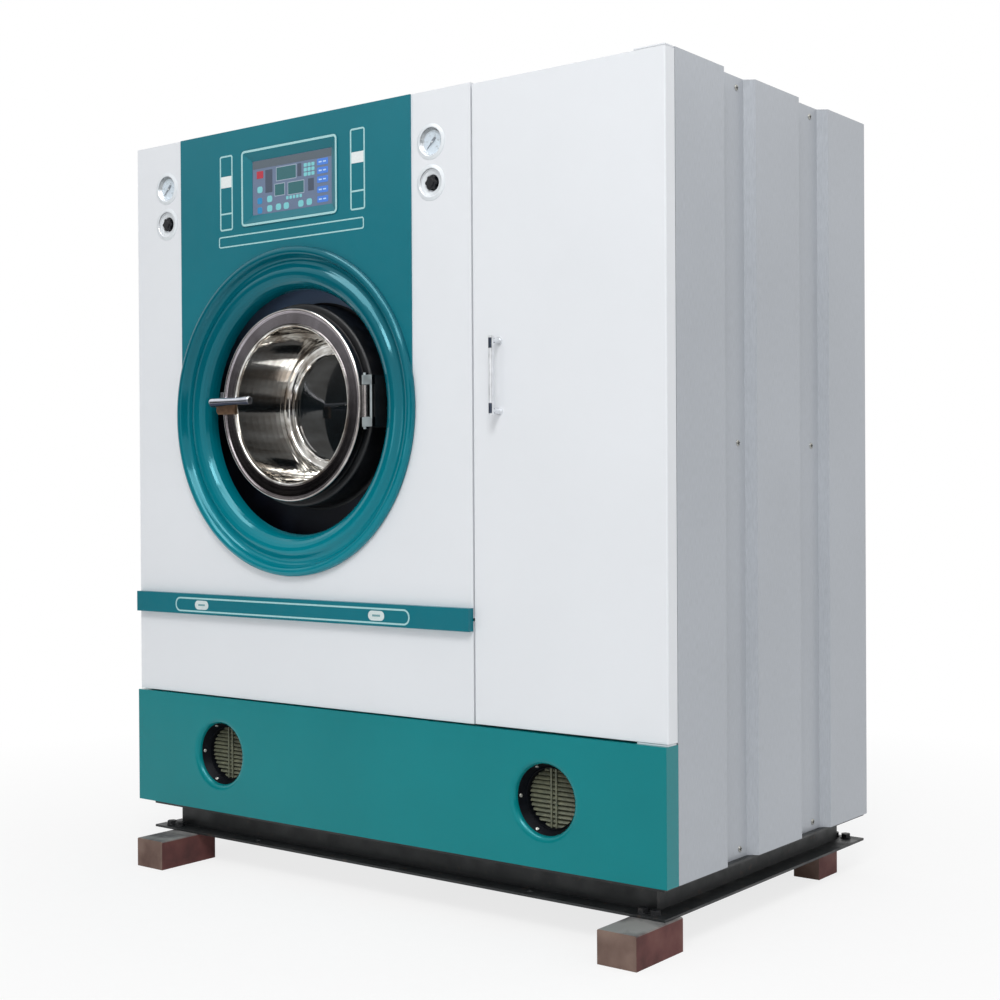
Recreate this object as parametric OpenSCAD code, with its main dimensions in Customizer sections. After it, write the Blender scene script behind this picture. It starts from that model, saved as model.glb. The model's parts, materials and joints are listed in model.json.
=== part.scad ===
// Front-loading dry cleaning machine in a free-standing sheet-metal cabinet.
// Millimetres. +X is to the right seen from the front, +Y runs to the back, +Z is up.
// The origin lies on the floor, in the middle of the whole machine's footprint.
// Inside cab() places are measured from the lower left front corner of the panels.

/* [Cabinet] */
// Width over the side panels
cab_w = 1500; // [1480:10:1600]
// Height of the panels above the base frame
cab_h = 1575; // [1560:5:1640]
// Depth from the face of the skirt to the rear edge of the sides
cab_d = 868; // [860:4:960]
// Thickness of the folded sheet
sheet = 1.5; // [1:0.5:2]
// Height of the skirt panel at the foot of the front
skirt_h = 266; // [250:2:280]
// Distance that the front panels stand behind the skirt
face_y = 8; // [6:1:12]
// Depth of the folded fixed front panels
pan_d = 35; // [33:1:40]
// Place of the seam between the fixed panels and the service door
seam_x = 1040; // [1030:1:1060]
// Gap left along the seams
seam_gap = 3; // [2:1:4]
// Width of a square frame tube
tube_w = 40; // [30:5:40]

/* [Base frame and blocks] */
// Height of the base channel
base_h = 62; // [56:2:70]
// Width of the channel flanges
flange_w = 50; // [45:1:55]
// Thickness of the channel steel
channel_t = 5; // [4:1:6]
// Left end of the base frame
base_left = 55; // [40:5:70]
// Distance from the right side of the cabinet to the base frame
base_right = 7; // [5:1:20]
// Height of the support blocks
block_h = 65; // [50:5:90]
// Width of a front support block
block_w = 86; // [70:2:100]
// Length of a front support block
block_l = 162; // [140:2:180]
// Distance that the front blocks stand out before the skirt
block_lead = 104; // [80:2:120]
// Thread size of the base bolts
bolt_d = 12; // [10:2:16]

/* [Front openings] */
// Place of the loading port across the front
port_x = 519.5; // [510:0.5:525]
// Height of the centre of the port surround
port_z = 923; // [910:1:935]
// Width of the port surround from its opening to its outer edge
surround_w = 93; // [88:1:96]
// Depth of the port surround behind the skirt's face
mouth_y = 41; // [38:1:44]
// Thickness of the fascia plate
fascia_t = 3.5; // [3:0.5:4]
// Radius of a vent hole in the skirt
vent_r = 71; // [65:1:75]
// Distance of the vents from the ends of the skirt
vent_in = 284; // [270:2:300]
// Height of the vent centres
vent_z = 134.5; // [125:0.5:140]

/* [Loading door] */
// Height of the centre of the loading door
door_z = 938; // [932:1:940]
// Width of the door ring round the bowl
ring_w = 42; // [40:0.5:43]
// Depth of the door ring
ring_d = 25; // [22:1:27]
// Radius of the mouth of the door bowl
bowl_r = 174; // [170:1:176]
// Depth of the door bowl
bowl_d = 148; // [130:2:152]
// Radius of the clear glass
glass_r = 121; // [115:1:126]
// Thickness of the glass
glass_t = 8; // [6:1:10]
// Depth at which the front plate of the tub stands
tub_y = 100; // [96:1:110]
// Height of the hinge yoke
yoke_h = 110; // [100:2:120]
// Radius of the loading door's hinge pin
door_pin_r = 3.5; // [3:0.25:4]
// Height of the lever spindle
spindle_z = 951; // [948:1:954]
// Length of the lever's bar
lever_l = 129; // [110:1:134]

/* [Controls] */
// Height of the gauges
gauge_z = 1469; // [1465:1:1480]
// Height of the regulator knobs
knob_z = 1384; // [1375:1:1388]
// Radius of the gauge bezel
bezel_r = 31.5; // [30:0.5:32]
// Width of the display frame
display_w = 301; // [290:1:306]
// Height of the display frame
display_h = 174; // [168:1:178]
// Middle of the display frame
display_z = 1436; // [1432:1:1440]
// Width of the screen
screen_w = 249; // [240:1:252]
// Height of the screen
screen_h = 123; // [118:1:128]
// Bottom edge of the trim bar
bar_z = 458; // [450:1:470]
// Height of the trim bar
bar_h = 47.5; // [44:0.5:50]
// Depth of the trim bar before the panels
bar_d = 16; // [12:1:20]

/* [Service door] */
// Depth of the folded service door
sdoor_d = 33; // [30:1:33]
// Distance of the pull handle from the free edge of the door
pull_in = 66; // [60:1:80]
// Height of the middle of the pull handle
pull_z = 974.5; // [960:0.5:990]
// Length of the pull handle
pull_l = 159; // [140:1:180]
// Radius of the pull handle bar
pull_r = 5.5; // [5:0.5:7]
// Distance of the bar from the door
pull_out = 27; // [25:1:32]
// Radius of the service door's pivot pins
pin_r = 5; // [4:0.5:6]

/* [Drum and drive] */
// Radius of the tub
tub_r = 440; // [430:2:440]
// Length of the tub
tub_l = 460; // [450:5:470]
// Space left between the drum and the tub
drum_gap = 40; // [34:1:50]
// Number of lifters in the drum
lifters = 3; // [3:1:4]
// Rows of holes along the drum
hole_rows = 5; // [4:1:6]
// Holes round the drum in each row
holes_round = 20; // [16:4:28]
// Radius of the drum shaft
shaft_r = 30; // [26:1:32]
// Radius of the drum pulley
pulley_r = 200; // [180:5:210]
// Radius of the motor pulley
motor_pulley_r = 45; // [40:1:50]
// Radius of the motor body
motor_r = 88; // [80:2:92]

/* [Hidden] */
$fn = 64;

// Small running clearance round a pin, and the gap kept at a seat between bodies
pin_gap = 0.06;
seat_gap = 0.3;

// Places that follow from the sizes above
stub_reach = 60;
stub_r = 17;
rear_wall = cab_d - 1 + sheet;
depth_all = block_lead + rear_wall + stub_reach;
front = block_lead - depth_all / 2;
skirt_base = block_h + base_h;
frame_y = face_y + pan_d;
side_in = 20;
side_slope = 15;
post_in = 30;
top_lip = 14;
post_top = cab_h - 2 - top_lip;
door_r = bowl_r + ring_w;
frame_in = bowl_r + 16;
frame_r = door_r + 12;
mouth_r = door_r + 59;
surround_r = mouth_r + surround_w;
fascia_half = surround_r - 9.5;
gauge_off = surround_r + 44;
hinge_x = port_x + door_r + 16.5;
spindle_x = port_x - door_r - 8;
drum_r = tub_r - drum_gap;

steel = [0.62, 0.63, 0.64];
chrome = [0.8, 0.81, 0.83];
teal = [0.14, 0.49, 0.51];
white = [0.88, 0.9, 0.92];
grey = [0.72, 0.74, 0.75];
black = [0.1, 0.12, 0.13];
rust = [0.43, 0.29, 0.25];
rubber = [0.08, 0.08, 0.08];

module cab() {
    translate([-cab_w / 2, front, skirt_base]) children();
}

// Turns a shape drawn along z so that it points to the back of the machine
module to_back() {
    rotate([-90, 0, 0]) children();
}

module at_port(z = port_z) {
    cab() translate([port_x, 0, z]) to_back() children();
}

function arc(cx, cy, r, a0, a1, n = 8) =
    [for (i = [0 : n]) let (a = a0 + (a1 - a0) * i / n) [cx + r * cos(a), cy + r * sin(a)]];

function bezier(a, b, c, d, n = 8) =
    [for (i = [0 : n]) let (t = i / n, s = 1 - t)
        s * s * s * a + 3 * s * s * t * b + 3 * s * t * t * c + t * t * t * d];

// A folded sheet tray with its open side to the back
module pan(w, h, d) {
    difference() {
        cube([w, d, h]);
        translate([sheet, sheet, sheet]) cube([w - 2 * sheet, d, h - 2 * sheet]);
    }
}

module rounded(w, h, r) {
    square([w - 2 * r, h], center = true);
    square([w, h - 2 * r], center = true);
    for (x = [-1, 1], y = [-1, 1]) translate([x * (w / 2 - r), y * (h / 2 - r)]) circle(r);
}

/* ---- Base frame and support blocks ---- */

vessel_x = (seam_x + cab_w) / 2;
vessel_y = 560;
vessel_r = 0.28 * (cab_w - seam_x);
leg_off = (vessel_r - 15) * cos(45);
base_w = cab_w - base_left - base_right;
base_d = cab_d - 6;
cross_w = 40;
cross_at = [250, 520, 780, seam_x, vessel_x - leg_off, vessel_x + leg_off];

// A ring of channels whose open sides face out
module channel_ring() {
    difference() {
        cube([base_w, base_d, base_h]);
        translate([flange_w, flange_w, -1])
            cube([base_w - 2 * flange_w, base_d - 2 * flange_w, base_h + 2]);
        difference() {
            translate([-1, -1, channel_t])
                cube([base_w + 2, base_d + 2, base_h - 2 * channel_t]);
            translate([flange_w - channel_t, flange_w - channel_t, 0])
                cube([base_w - 2 * (flange_w - channel_t),
                    base_d - 2 * (flange_w - channel_t), base_h]);
        }
    }
}

module base_frame() {
    color(black) cab() translate([0, 0, -base_h]) difference() {
        union() {
            translate([base_left, 3, 0]) channel_ring();
            for (x = cross_at) translate([x - cross_w / 2, 3 + flange_w - 1, 0]) difference() {
                cube([cross_w, base_d - 2 * flange_w + 2, base_h]);
                translate([channel_t, -1, channel_t])
                    cube([cross_w, base_d, base_h - 2 * channel_t]);
            }
        }
        for (p = anchor_at) translate([p[0], p[1], -1]) cylinder(r = anchor_r, h = channel_t + 2);
        for (p = bolt_at) translate([p[0], p[1], -1]) cylinder(r = bolt_d / 2, h = channel_t + 2);
    }
}

anchor_r = 7;
anchor_in = 22;
anchor_at = [for (x = [base_left + 330, base_left + base_w - 330],
    y = [3 + anchor_in, 3 + base_d - anchor_in]) [x, y]];
bolt_at = [for (x = [base_left + 34, base_left + 62, base_left + base_w - 62,
    base_left + base_w - 34], y = [3 + anchor_in, 3 + base_d - anchor_in]) [x, y]];

module base_bolt() {
    washer_t = 2;
    head_h = 8;
    cylinder(r = bolt_d / 2 - pin_gap, h = channel_t);
    translate([0, 0, channel_t]) cylinder(r = bolt_d, h = washer_t);
    translate([0, 0, channel_t + washer_t]) cylinder(r = bolt_d * 0.9, h = head_h, $fn = 6);
}

module base_bolts() {
    color(steel) cab() for (p = bolt_at) translate([p[0], p[1], -base_h]) base_bolt();
}

module block(w, l) {
    chamfer = 3;
    color(rust) difference() {
        cube([w, l, block_h]);
        for (x = [0, w]) translate([x, l / 2, block_h]) rotate([0, 45, 0])
            cube([chamfer, l + 2, chamfer], center = true);
    }
}

module front_left_block() {
    translate([-cab_w / 2 + 118, front - block_lead, 0]) block(block_w, block_l);
}

module front_right_block() {
    translate([cab_w / 2 - 1 - block_w, front - block_lead, 0]) block(block_w, block_l);
}

rear_block_w = 62;
rear_block_l = 90;
rear_block_y = 705;

module rear_left_block() {
    translate([-cab_w / 2 + base_left + 30, front + rear_block_y, 0])
        block(rear_block_w, rear_block_l);
}

module rear_right_block() {
    translate([cab_w / 2 - 40 - rear_block_w, front + rear_block_y, 0])
        block(rear_block_w, rear_block_l);
}

/* ---- Skirt and its vents ---- */

rim_out = vent_r + 14;
rim_deep = 12;
vent_at = [vent_in, cab_w - vent_in];

module vent_hole() {
    to_back() translate([0, 0, -1]) cylinder(r = rim_out, h = sheet + 2);
}

// The edge of each hole is pressed in like a funnel
module vent_rim() {
    to_back() rotate_extrude() polygon(concat(
        bezier([rim_out + 0.5, 0], [rim_out - 8, 0], [vent_r + 1, 4], [vent_r, rim_deep]),
        bezier([vent_r + sheet, rim_deep], [vent_r + 3, 5], [rim_out - 6, sheet],
            [rim_out + 0.5, sheet])));
}

module skirt_panel() {
    color(teal) cab() {
        difference() {
            pan(cab_w, skirt_h, frame_y);
            for (x = vent_at) translate([x, 0, vent_z]) vent_hole();
        }
        for (x = vent_at) translate([x, 0, vent_z]) vent_rim();
    }
}

grille_r = 57;
grille_y = rim_deep;
grille_t = 4;
slats = 11;
vent_screw_r = 65;

module vent_grille(x) {
    slat_step = 2 * grille_r / slats;
    slat_d = 9;
    color(black) cab() translate([x, grille_y, vent_z]) {
        to_back() difference() {
            cylinder(r = rim_out - 3, h = grille_t);
            translate([0, 0, -1]) cylinder(r = grille_r, h = grille_t + 2);
            for (a = [0 : 90 : 270]) rotate(a) translate([vent_screw_r, 0, -1])
                cylinder(r = 2.1, h = grille_t + 2);
        }
        intersection() {
            to_back() cylinder(r = grille_r + 1, h = 30);
            union() {
                for (i = [0 : slats - 1])
                    translate([0, 8, (i - (slats - 1) / 2) * slat_step]) rotate([35, 0, 0])
                        cube([2 * grille_r + 2, slat_d, 1.6], center = true);
                for (s = [-1, 1]) translate([s * grille_r / 3 - 2, 9, -grille_r - 2])
                    cube([4, 6, 2 * grille_r + 4]);
                to_back() translate([0, 0, grille_t - 0.5]) difference() {
                    cylinder(r = grille_r + 1, h = 12);
                    translate([0, 0, -1]) cylinder(r = grille_r - 2, h = 14);
                }
            }
        }
    }
}

module left_vent_grille() {
    vent_grille(vent_at[0]);
}

module right_vent_grille() {
    vent_grille(vent_at[1]);
}

/* ---- Fixed front panels ---- */

module lower_front_panel() {
    color(white) cab() translate([sheet, face_y, skirt_h + seam_gap])
        pan(seam_x - sheet - seam_gap, bar_z + bar_h / 2 - skirt_h - 2 * seam_gap, pan_d);
}

upper_z = bar_z + bar_h / 2 + seam_gap;
panel_hole_r = surround_r - 16;

module upper_front_panel() {
    color(white) cab() difference() {
        translate([sheet, face_y, upper_z])
            pan(seam_x - sheet - seam_gap, cab_h - upper_z, pan_d);
        translate([port_x, 0, port_z]) to_back() cylinder(r = panel_hole_r, h = face_y + 5);
        translate([port_x, 0, display_z]) to_back() linear_extrude(face_y + 5)
            rounded(display_w - 14, display_h - 14, 6);
        for (s = [-1, 1]) translate([port_x + s * gauge_off, 0, 0]) {
            translate([0, 0, gauge_z]) to_back() cylinder(r = case_r + 0.5, h = face_y + 5);
            translate([0, 0, knob_z]) to_back() cylinder(r = reg_r + 0.5, h = face_y + 5);
        }
    }
}

module fascia_plate() {
    color(teal) cab() translate([port_x, face_y - fascia_t, 0]) to_back()
        linear_extrude(fascia_t) difference() {
            union() {
                translate([-fascia_half, -cab_h]) square([2 * fascia_half, cab_h - port_z]);
                translate([0, -port_z]) circle(surround_r - 2);
            }
            translate([0, -port_z]) circle(panel_hole_r);
            translate([0, -display_z]) rounded(display_w - 10, display_h - 10, 8);
        }
}

// Outer roll, hollow, inner bead and the throat that leads in to the door
module port_surround() {
    seat = face_y - fascia_t;
    roll = -10;
    trough = 9;
    bead = -2;
    wall = 4;
    trough_r = surround_r - 33;
    bead_r = mouth_r + 36;
    front_line = concat(
        bezier([surround_r, seat], [surround_r + 1, -7], [surround_r - 6, roll],
            [surround_r - 12, roll]),
        bezier([surround_r - 12, roll], [surround_r - 22, roll], [trough_r + 13, trough],
            [trough_r, trough]),
        bezier([trough_r, trough], [trough_r - 10, trough], [bead_r + 11, bead],
            [bead_r, bead]),
        bezier([bead_r, bead], [bead_r - 21, bead], [mouth_r + 1, 16], [mouth_r, mouth_y]));
    back_line = concat(
        bezier([mouth_r + wall, mouth_y], [mouth_r + wall + 1, 20], [bead_r - 17, bead + wall],
            [bead_r, bead + wall]),
        bezier([bead_r, bead + wall], [bead_r + 9, bead + wall], [trough_r - 10, trough + wall],
            [trough_r, trough + wall]),
        bezier([trough_r, trough + wall], [trough_r + 9, trough + wall],
            [panel_hole_r - 1.5, trough], [panel_hole_r - 0.5, seat]));
    color(teal) at_port() rotate_extrude($fn = 96) polygon(concat(front_line, back_line));
}

module trim_bar() {
    inset = 6;
    color(teal) cab() translate([inset, face_y - bar_d, bar_z])
        pan(seam_x - inset - seam_gap, bar_h, bar_d);
}

/* ---- Display ---- */

screen_y = 10.5;

module display_bezel() {
    proud = 2;
    lip = 7;
    color(teal) cab() translate([port_x, face_y - fascia_t - proud, display_z]) difference() {
        to_back() union() {
            linear_extrude(proud) rounded(display_w, display_h, 12);
            linear_extrude(screen_y + 12) rounded(display_w - 16, display_h - 16, 6);
        }
        hull() {
            translate([0, -0.1, 0]) cube([display_w - 2 * lip, 0.2, display_h - 2 * lip],
                center = true);
            translate([0, screen_y, 0]) cube([screen_w, 0.2, screen_h], center = true);
        }
        translate([-screen_w / 2, screen_y - 1, -screen_h / 2]) cube([screen_w, 20, screen_h]);
    }
}

module touch_screen() {
    color([0.36, 0.36, 0.5]) cab()
        translate([port_x - screen_w / 2, face_y - fascia_t + screen_y - 1,
            display_z - screen_h / 2])
        cube([screen_w, 10, screen_h]);
}

/* ---- Pressure gauges and regulators ---- */

case_r = 28;
reg_r = 27;
collar_r = 37.5;
gauge_at = [port_x - gauge_off, port_x + gauge_off];
needle_turn = -45;

module gauge_case() {
    dial_y = 3;
    to_back() {
        translate([0, 0, -11.5]) rotate_extrude() polygon(concat(
            [[bezel_r - 3, 9]],
            arc(bezel_r - 1.5, 1.5, 1.5, 180, 360, 6),
            [[bezel_r, 9], [collar_r, 9.5], [collar_r, 11.5], [case_r, 11.5]],
            [[case_r, 10]]));
        translate([0, 0, -dial_y]) cylinder(r = bezel_r - 2, h = 2);
        translate([0, 0, -dial_y + 1]) cylinder(r = case_r, h = 35);
        translate([0, 0, 30]) cylinder(r = 11, h = 14, $fn = 6);
        translate([0, 0, 40]) cylinder(r = 6.5, h = 18);
        translate([0, 0, -dial_y - 2]) cylinder(r = 1.2, h = 3);
    }
}

module gauge_cases() {
    color(chrome) cab() for (x = gauge_at) translate([x, face_y, gauge_z]) gauge_case();
}

module gauge_lenses() {
    color([0.8, 0.9, 0.95, 0.4]) cab() for (x = gauge_at)
        translate([x, face_y - 7.5, gauge_z]) to_back() cylinder(r = bezel_r - 3.05, h = 1.5);
}

module needle(x) {
    color(black) cab() translate([x, face_y - 5, gauge_z]) rotate([0, needle_turn, 0]) to_back()
        linear_extrude(0.8) difference() {
            union() {
                polygon([[-21, 0], [0, -1.6], [0, 1.6]]);
                translate([0, -2]) square([10, 4]);
                circle(3.2);
            }
            circle(1.2 + pin_gap);
        }
}

module left_gauge_needle() {
    needle(gauge_at[0]);
}

module right_gauge_needle() {
    needle(gauge_at[1]);
}

module regulator_bezel() {
    to_back() difference() {
        union() {
            translate([0, 0, -11]) rotate_extrude() polygon(concat(
                [[24, 13], [24, 4]], arc(bezel_r - 3, 3, 3, 180, 360, 6),
                [[bezel_r, 8.5], [collar_r, 9], [collar_r, 11], [reg_r, 11], [reg_r, 13]]));
            translate([0, 0, 1]) cylinder(r = reg_r, h = 26);
            translate([0, 0, -9]) cylinder(r = 4, h = 12);
            translate([0, 0, 26]) cylinder(r = 14, h = 24);
        }
        translate([0, 0, 0.9]) difference() {
            cylinder(r = 24, h = 2);
            translate([0, 0, -1]) cylinder(r = 6, h = 4);
        }
    }
}

module regulator_bezels() {
    color(chrome) cab() for (x = gauge_at) translate([x, face_y, knob_z]) regulator_bezel();
}

// Six rounded lobes round a hub, with a blind bore for the spindle
module knob(x) {
    lobes = 6;
    color(rubber) cab() translate([x, face_y - 18, knob_z]) to_back() difference() {
        union() {
            cylinder(r = 14, h = 17);
            for (i = [0 : lobes - 1]) rotate(i * 360 / lobes) translate([12.5, 0, 0])
                cylinder(r = 4.5, h = 17);
            translate([0, 0, -2]) cylinder(r = 9, h = 3);
        }
        translate([0, 0, 8]) cylinder(r = 4 + pin_gap, h = 20);
    }
}

module left_regulator_knob() {
    knob(gauge_at[0]);
}

module right_regulator_knob() {
    knob(gauge_at[1]);
}

/* ---- Service door ---- */

sdoor_x = seam_x + sheet;
sdoor_w = cab_w - sdoor_x;
plate_t = 3;
sdoor_z = skirt_h + plate_t + 1;
sdoor_h = cab_h - plate_t - 1 - sdoor_z;
axis_x = cab_w - 8;
axis_y = face_y + 8;
bush_h = 14;

module service_door() {
    color(white) cab() difference() {
        union() {
            translate([sdoor_x, face_y, sdoor_z]) pan(sdoor_w, sdoor_h, sdoor_d);
            for (z = [sdoor_z, sdoor_z + sdoor_h - bush_h])
                translate([cab_w - 26, face_y, z]) cube([26, 20, bush_h]);
            for (z = [0.3, 0.7]) translate([sdoor_x + 1, face_y + 1, sdoor_z + z * sdoor_h])
                cube([sdoor_w - 2, 12, 25]);
        }
        translate([axis_x, axis_y, sdoor_z - 1]) cylinder(r = pin_r + pin_gap, h = sdoor_h + 2);
        for (z = pull_feet) translate([sdoor_x + pull_in, face_y - 1, z]) to_back()
            cylinder(r = 2.5, h = 6);
        difference() {
            translate([cab_w - 4, face_y - 1, sdoor_z - 1]) cube([5, 5, sdoor_h + 2]);
            translate([cab_w - 4, face_y + 4, sdoor_z - 2]) cylinder(r = 4, h = sdoor_h + 4);
        }
    }
}

foot_in = 9;
pull_feet = [pull_z - pull_l / 2 + foot_in, pull_z + pull_l / 2 - foot_in];

module service_door_handle() {
    color(chrome) cab() translate([sdoor_x + pull_in, face_y, 0]) {
        translate([0, -pull_out, pull_z - pull_l / 2]) cylinder(r = pull_r, h = pull_l);
        for (z = pull_feet) translate([0, 0, z]) {
            translate([0, -pull_out, 0]) to_back() cylinder(r = pull_r, h = pull_out);
            translate([0, -3, 0]) to_back() cylinder(r = pull_r + 2.5, h = 3);
            to_back() cylinder(r = 2.5, h = 5);
        }
    }
}

// Pivot plates carry a pin at the foot and the head of the door
module service_door_pivots() {
    tongue_x = cab_w - post_in - tube_w;
    head_z = cab_h - plate_t;
    color(steel) cab() for (top = [0, 1]) {
        z = top ? head_z : skirt_h;
        translate([tongue_x, face_y + 1, z]) {
            cube([tube_w, pan_d - 1 + top * tube_w, plate_t]);
            cube([cab_w - 1 - tongue_x, pan_d - 6, plate_t]);
        }
        if (top) translate([tongue_x, frame_y + 1, post_top])
            cube([tube_w, tube_w - 2, head_z - post_top + 1]);
        translate([axis_x, axis_y, top ? z - bush_h + 1 : z])
            cylinder(r = pin_r, h = bush_h - 1 + plate_t);
    }
}

/* ---- Sides, rear and top ---- */

ridge_at = [frame_y, 227, 355, 545, 683, cab_d - 1];

// The plan of a side sheet, with its ridges on the outside at x = 0
function side_line(off) = [
    [off, ridge_at[0]], [off, ridge_at[1]],
    [off + side_in, ridge_at[1] + side_slope], [off + side_in, ridge_at[2] - side_slope],
    [off, ridge_at[2]], [off, ridge_at[3]],
    [off + side_in, ridge_at[3] + side_slope], [off + side_in, ridge_at[4] - side_slope],
    [off, ridge_at[4]], [off, ridge_at[5]]];

module side_sheet() {
    lip = 25;
    linear_extrude(cab_h) {
        polygon(concat(side_line(0), [for (i = [9 : -1 : 0]) side_line(sheet)[i]]));
        translate([0, ridge_at[0]]) square([lip, sheet]);
        translate([0, ridge_at[5] - sheet]) square([lip, sheet]);
    }
}

screw_z = [18, 838, post_top - 6];
screw_y = [(ridge_at[1] + ridge_at[2]) / 2 + 20, (ridge_at[3] + ridge_at[4]) / 2 + 20];

module screw_holes() {
    for (y = screw_y, z = screw_z) translate([side_in - 2, y, z]) rotate([0, 90, 0])
        cylinder(r = 2.6, h = 6);
}

module left_side_panel() {
    color(grey) cab() difference() {
        side_sheet();
        screw_holes();
    }
}

module right_side_panel() {
    color(grey) cab() translate([cab_w, 0, 0]) mirror([1, 0, 0]) difference() {
        side_sheet();
        screw_holes();
    }
}

module screw(l) {
    cylinder(r = 4.6, h = 2);
    translate([0, 0, 1]) cylinder(r = 2.5, h = l);
}

module panel_screws() {
    head = 2;
    color(steel) cab() {
        for (y = screw_y, z = screw_z) {
            translate([side_in - head, y, z]) rotate([0, 90, 0]) screw(9);
            translate([cab_w - side_in + head, y, z]) rotate([0, -90, 0]) screw(9);
        }
        for (x = vent_at, a = [0 : 90 : 270])
            translate([x, grille_y, vent_z]) rotate([0, a, 0]) translate([vent_screw_r, 0, 0])
                to_back() translate([0, 0, -1.8]) {
                    cylinder(r = 4, h = 1.8);
                    cylinder(r = 2, h = 5.5);
                }
    }
}

louvre_rows = 9;
louvre_w = 260;

module louvre() {
    depth = 9;
    rotate([90, 0, 90]) linear_extrude(louvre_w, center = true) difference() {
        polygon([[0, 0], [depth, 0], [depth, 4], [0, 24]]);
        polygon([[-1, -1], [depth - sheet, -1], [depth - sheet, 3], [-1, 22]]);
    }
}

module rear_panel() {
    inset = 4;
    color(grey) cab() translate([0, cab_d - 1, 0]) {
        difference() {
            translate([inset, 0, 0]) cube([cab_w - 2 * inset, sheet, cab_h]);
            for (x = [port_x, cab_w - 250], i = [0 : louvre_rows - 1])
                translate([x - louvre_w / 2 + sheet, -1, 750 + i * 45])
                    cube([louvre_w - 2 * sheet, 4, 20]);
            for (p = stub_at) translate([p[0], -1, p[1]]) to_back()
                cylinder(r = stub_r + 4, h = 4);
        }
        for (x = [port_x, cab_w - 250], i = [0 : louvre_rows - 1])
            translate([x, sheet, 750 + i * 45]) louvre();
    }
}

// The plan inside both side sheets, which the top panel fits
module plan(off) {
    right = [for (p = side_line(off)) [cab_w - p[0], p[1]]];
    polygon(concat(side_line(off), [for (i = [9 : -1 : 0]) right[i]]));
}

module top_panel() {
    fit = sheet + 0.5;
    edge = [frame_y + fit, cab_d - 1 - fit];
    color(grey) cab() translate([0, 0, post_top]) difference() {
        linear_extrude(top_lip) intersection() {
            plan(fit);
            translate([0, edge[0]]) square([cab_w, edge[1] - edge[0]]);
        }
        translate([0, 0, -1]) linear_extrude(top_lip + 1 - sheet) intersection() {
            plan(fit + sheet);
            translate([0, edge[0] + sheet]) square([cab_w, edge[1] - edge[0] - 2 * sheet]);
        }
        translate([cab_w - post_in - tube_w - 1, frame_y - 1, -1])
            cube([tube_w + 2, tube_w + 2, top_lip + 2]);
    }
}

stub_at = [[1150, 300], [1250, 300], [1350, 300]];

// Threaded pipe ends for cooling water in, cooling water out and compressed air
module pipe_stubs() {
    bore = 11;
    wall_y = rear_wall;
    color([0.72, 0.6, 0.3]) cab() for (p = stub_at) translate([p[0], 0, p[1]]) to_back()
        difference() {
            union() {
                translate([0, 0, wall_y - 40]) cylinder(r = stub_r, h = 40 + stub_reach);
                translate([0, 0, wall_y]) cylinder(r = stub_r + 11, h = 8, $fn = 6);
                translate([0, 0, wall_y - 12]) cylinder(r = stub_r + 11, h = 10, $fn = 6);
            }
            translate([0, 0, wall_y - 41]) cylinder(r = bore, h = 42 + stub_reach);
        }
}

/* ---- Inner frame ---- */

post_x = [post_in, seam_x - tube_w / 2, cab_w - post_in - tube_w];
rear_post_y = cab_d - 6 - tube_w;
mid_post_y = 430;
rail_z = post_top - tube_w;

module cabinet_frame() {
    color(black) cab() {
        for (x = post_x, y = [frame_y, rear_post_y]) translate([x, y, 0])
            cube([tube_w, tube_w, post_top]);
        translate([post_x[1], mid_post_y, 0]) cube([tube_w, tube_w, post_top]);
        for (y = [frame_y, rear_post_y]) translate([post_in, y, rail_z])
            cube([cab_w - 2 * post_in, tube_w, tube_w]);
        for (x = post_x, z = [0, rail_z]) translate([x, frame_y, z])
            cube([tube_w, rear_post_y - frame_y, tube_w]);
    }
}

/* ---- Tub, door frame and seal ---- */

plate = 6;
tub_back = tub_y + tub_l;
housing_l = 125;

module tub_shell() {
    color(steel) at_port(door_z) difference() {
        translate([0, 0, tub_y + plate]) cylinder(r = tub_r, h = tub_l, $fn = 96);
        translate([0, 0, tub_y + plate - 1])
            cylinder(r = tub_r - 4, h = tub_l + 1 - plate, $fn = 96);
        translate([0, 0, tub_y]) cylinder(r = shaft_r + 6, h = tub_l + 20);
    }
}

module tub_front() {
    color([0.22, 0.24, 0.3]) at_port(door_z) translate([0, 0, tub_y]) difference() {
        cylinder(r = tub_r, h = plate, $fn = 96);
        translate([0, 0, -1]) cylinder(r = frame_in + 2, h = plate + 2);
    }
}

// Two shaped plates stand on the base and hold the tub, with a window for tank and motor
module tub_cradle() {
    thick = 8;
    reach = tub_r - 40;
    high = 700;
    window_h = tank_z + 15;
    leg_w = 70;
    color(black) cab() for (y = [190, 480]) translate([port_x, y, 0]) to_back()
        linear_extrude(thick) difference() {
            translate([-reach, -high]) square([2 * reach, high]);
            translate([0, -door_z]) circle(tub_r + 0.2);
            translate([leg_w - reach, -window_h]) square([2 * (reach - leg_w), window_h + 1]);
        }
}

door_back = ring_d + 5;

// The cast ring that the door shuts on, with a boss at the right for its hinge
module door_frame() {
    flange = 8;
    color(black) {
        at_port(door_z) rotate_extrude($fn = 96) polygon(concat(
            [[frame_in, tub_y], [frame_in, door_back + 4]],
            arc(frame_in + 4, door_back + 4, 4, 180, 270, 4),
            arc(frame_r - 6, door_back + 6, 6, 270, 360, 4),
            [[frame_r, tub_y - flange]],
            arc(frame_r + flange, tub_y - flange, flange, 180, 90, 4),
            [[frame_r + flange, tub_y]]));
        cab() translate([hinge_x, 0, yoke_z]) linear_extrude(yoke_h) polygon([
            [knuckle_r + 2.5, yoke_back], [rod_x + rod_r, yoke_back], [rod_x + rod_r, 66],
            [-16, 66], [-16, door_back + 6], [knuckle_r + 2.5, door_back - 4]]);
    }
}

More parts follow.
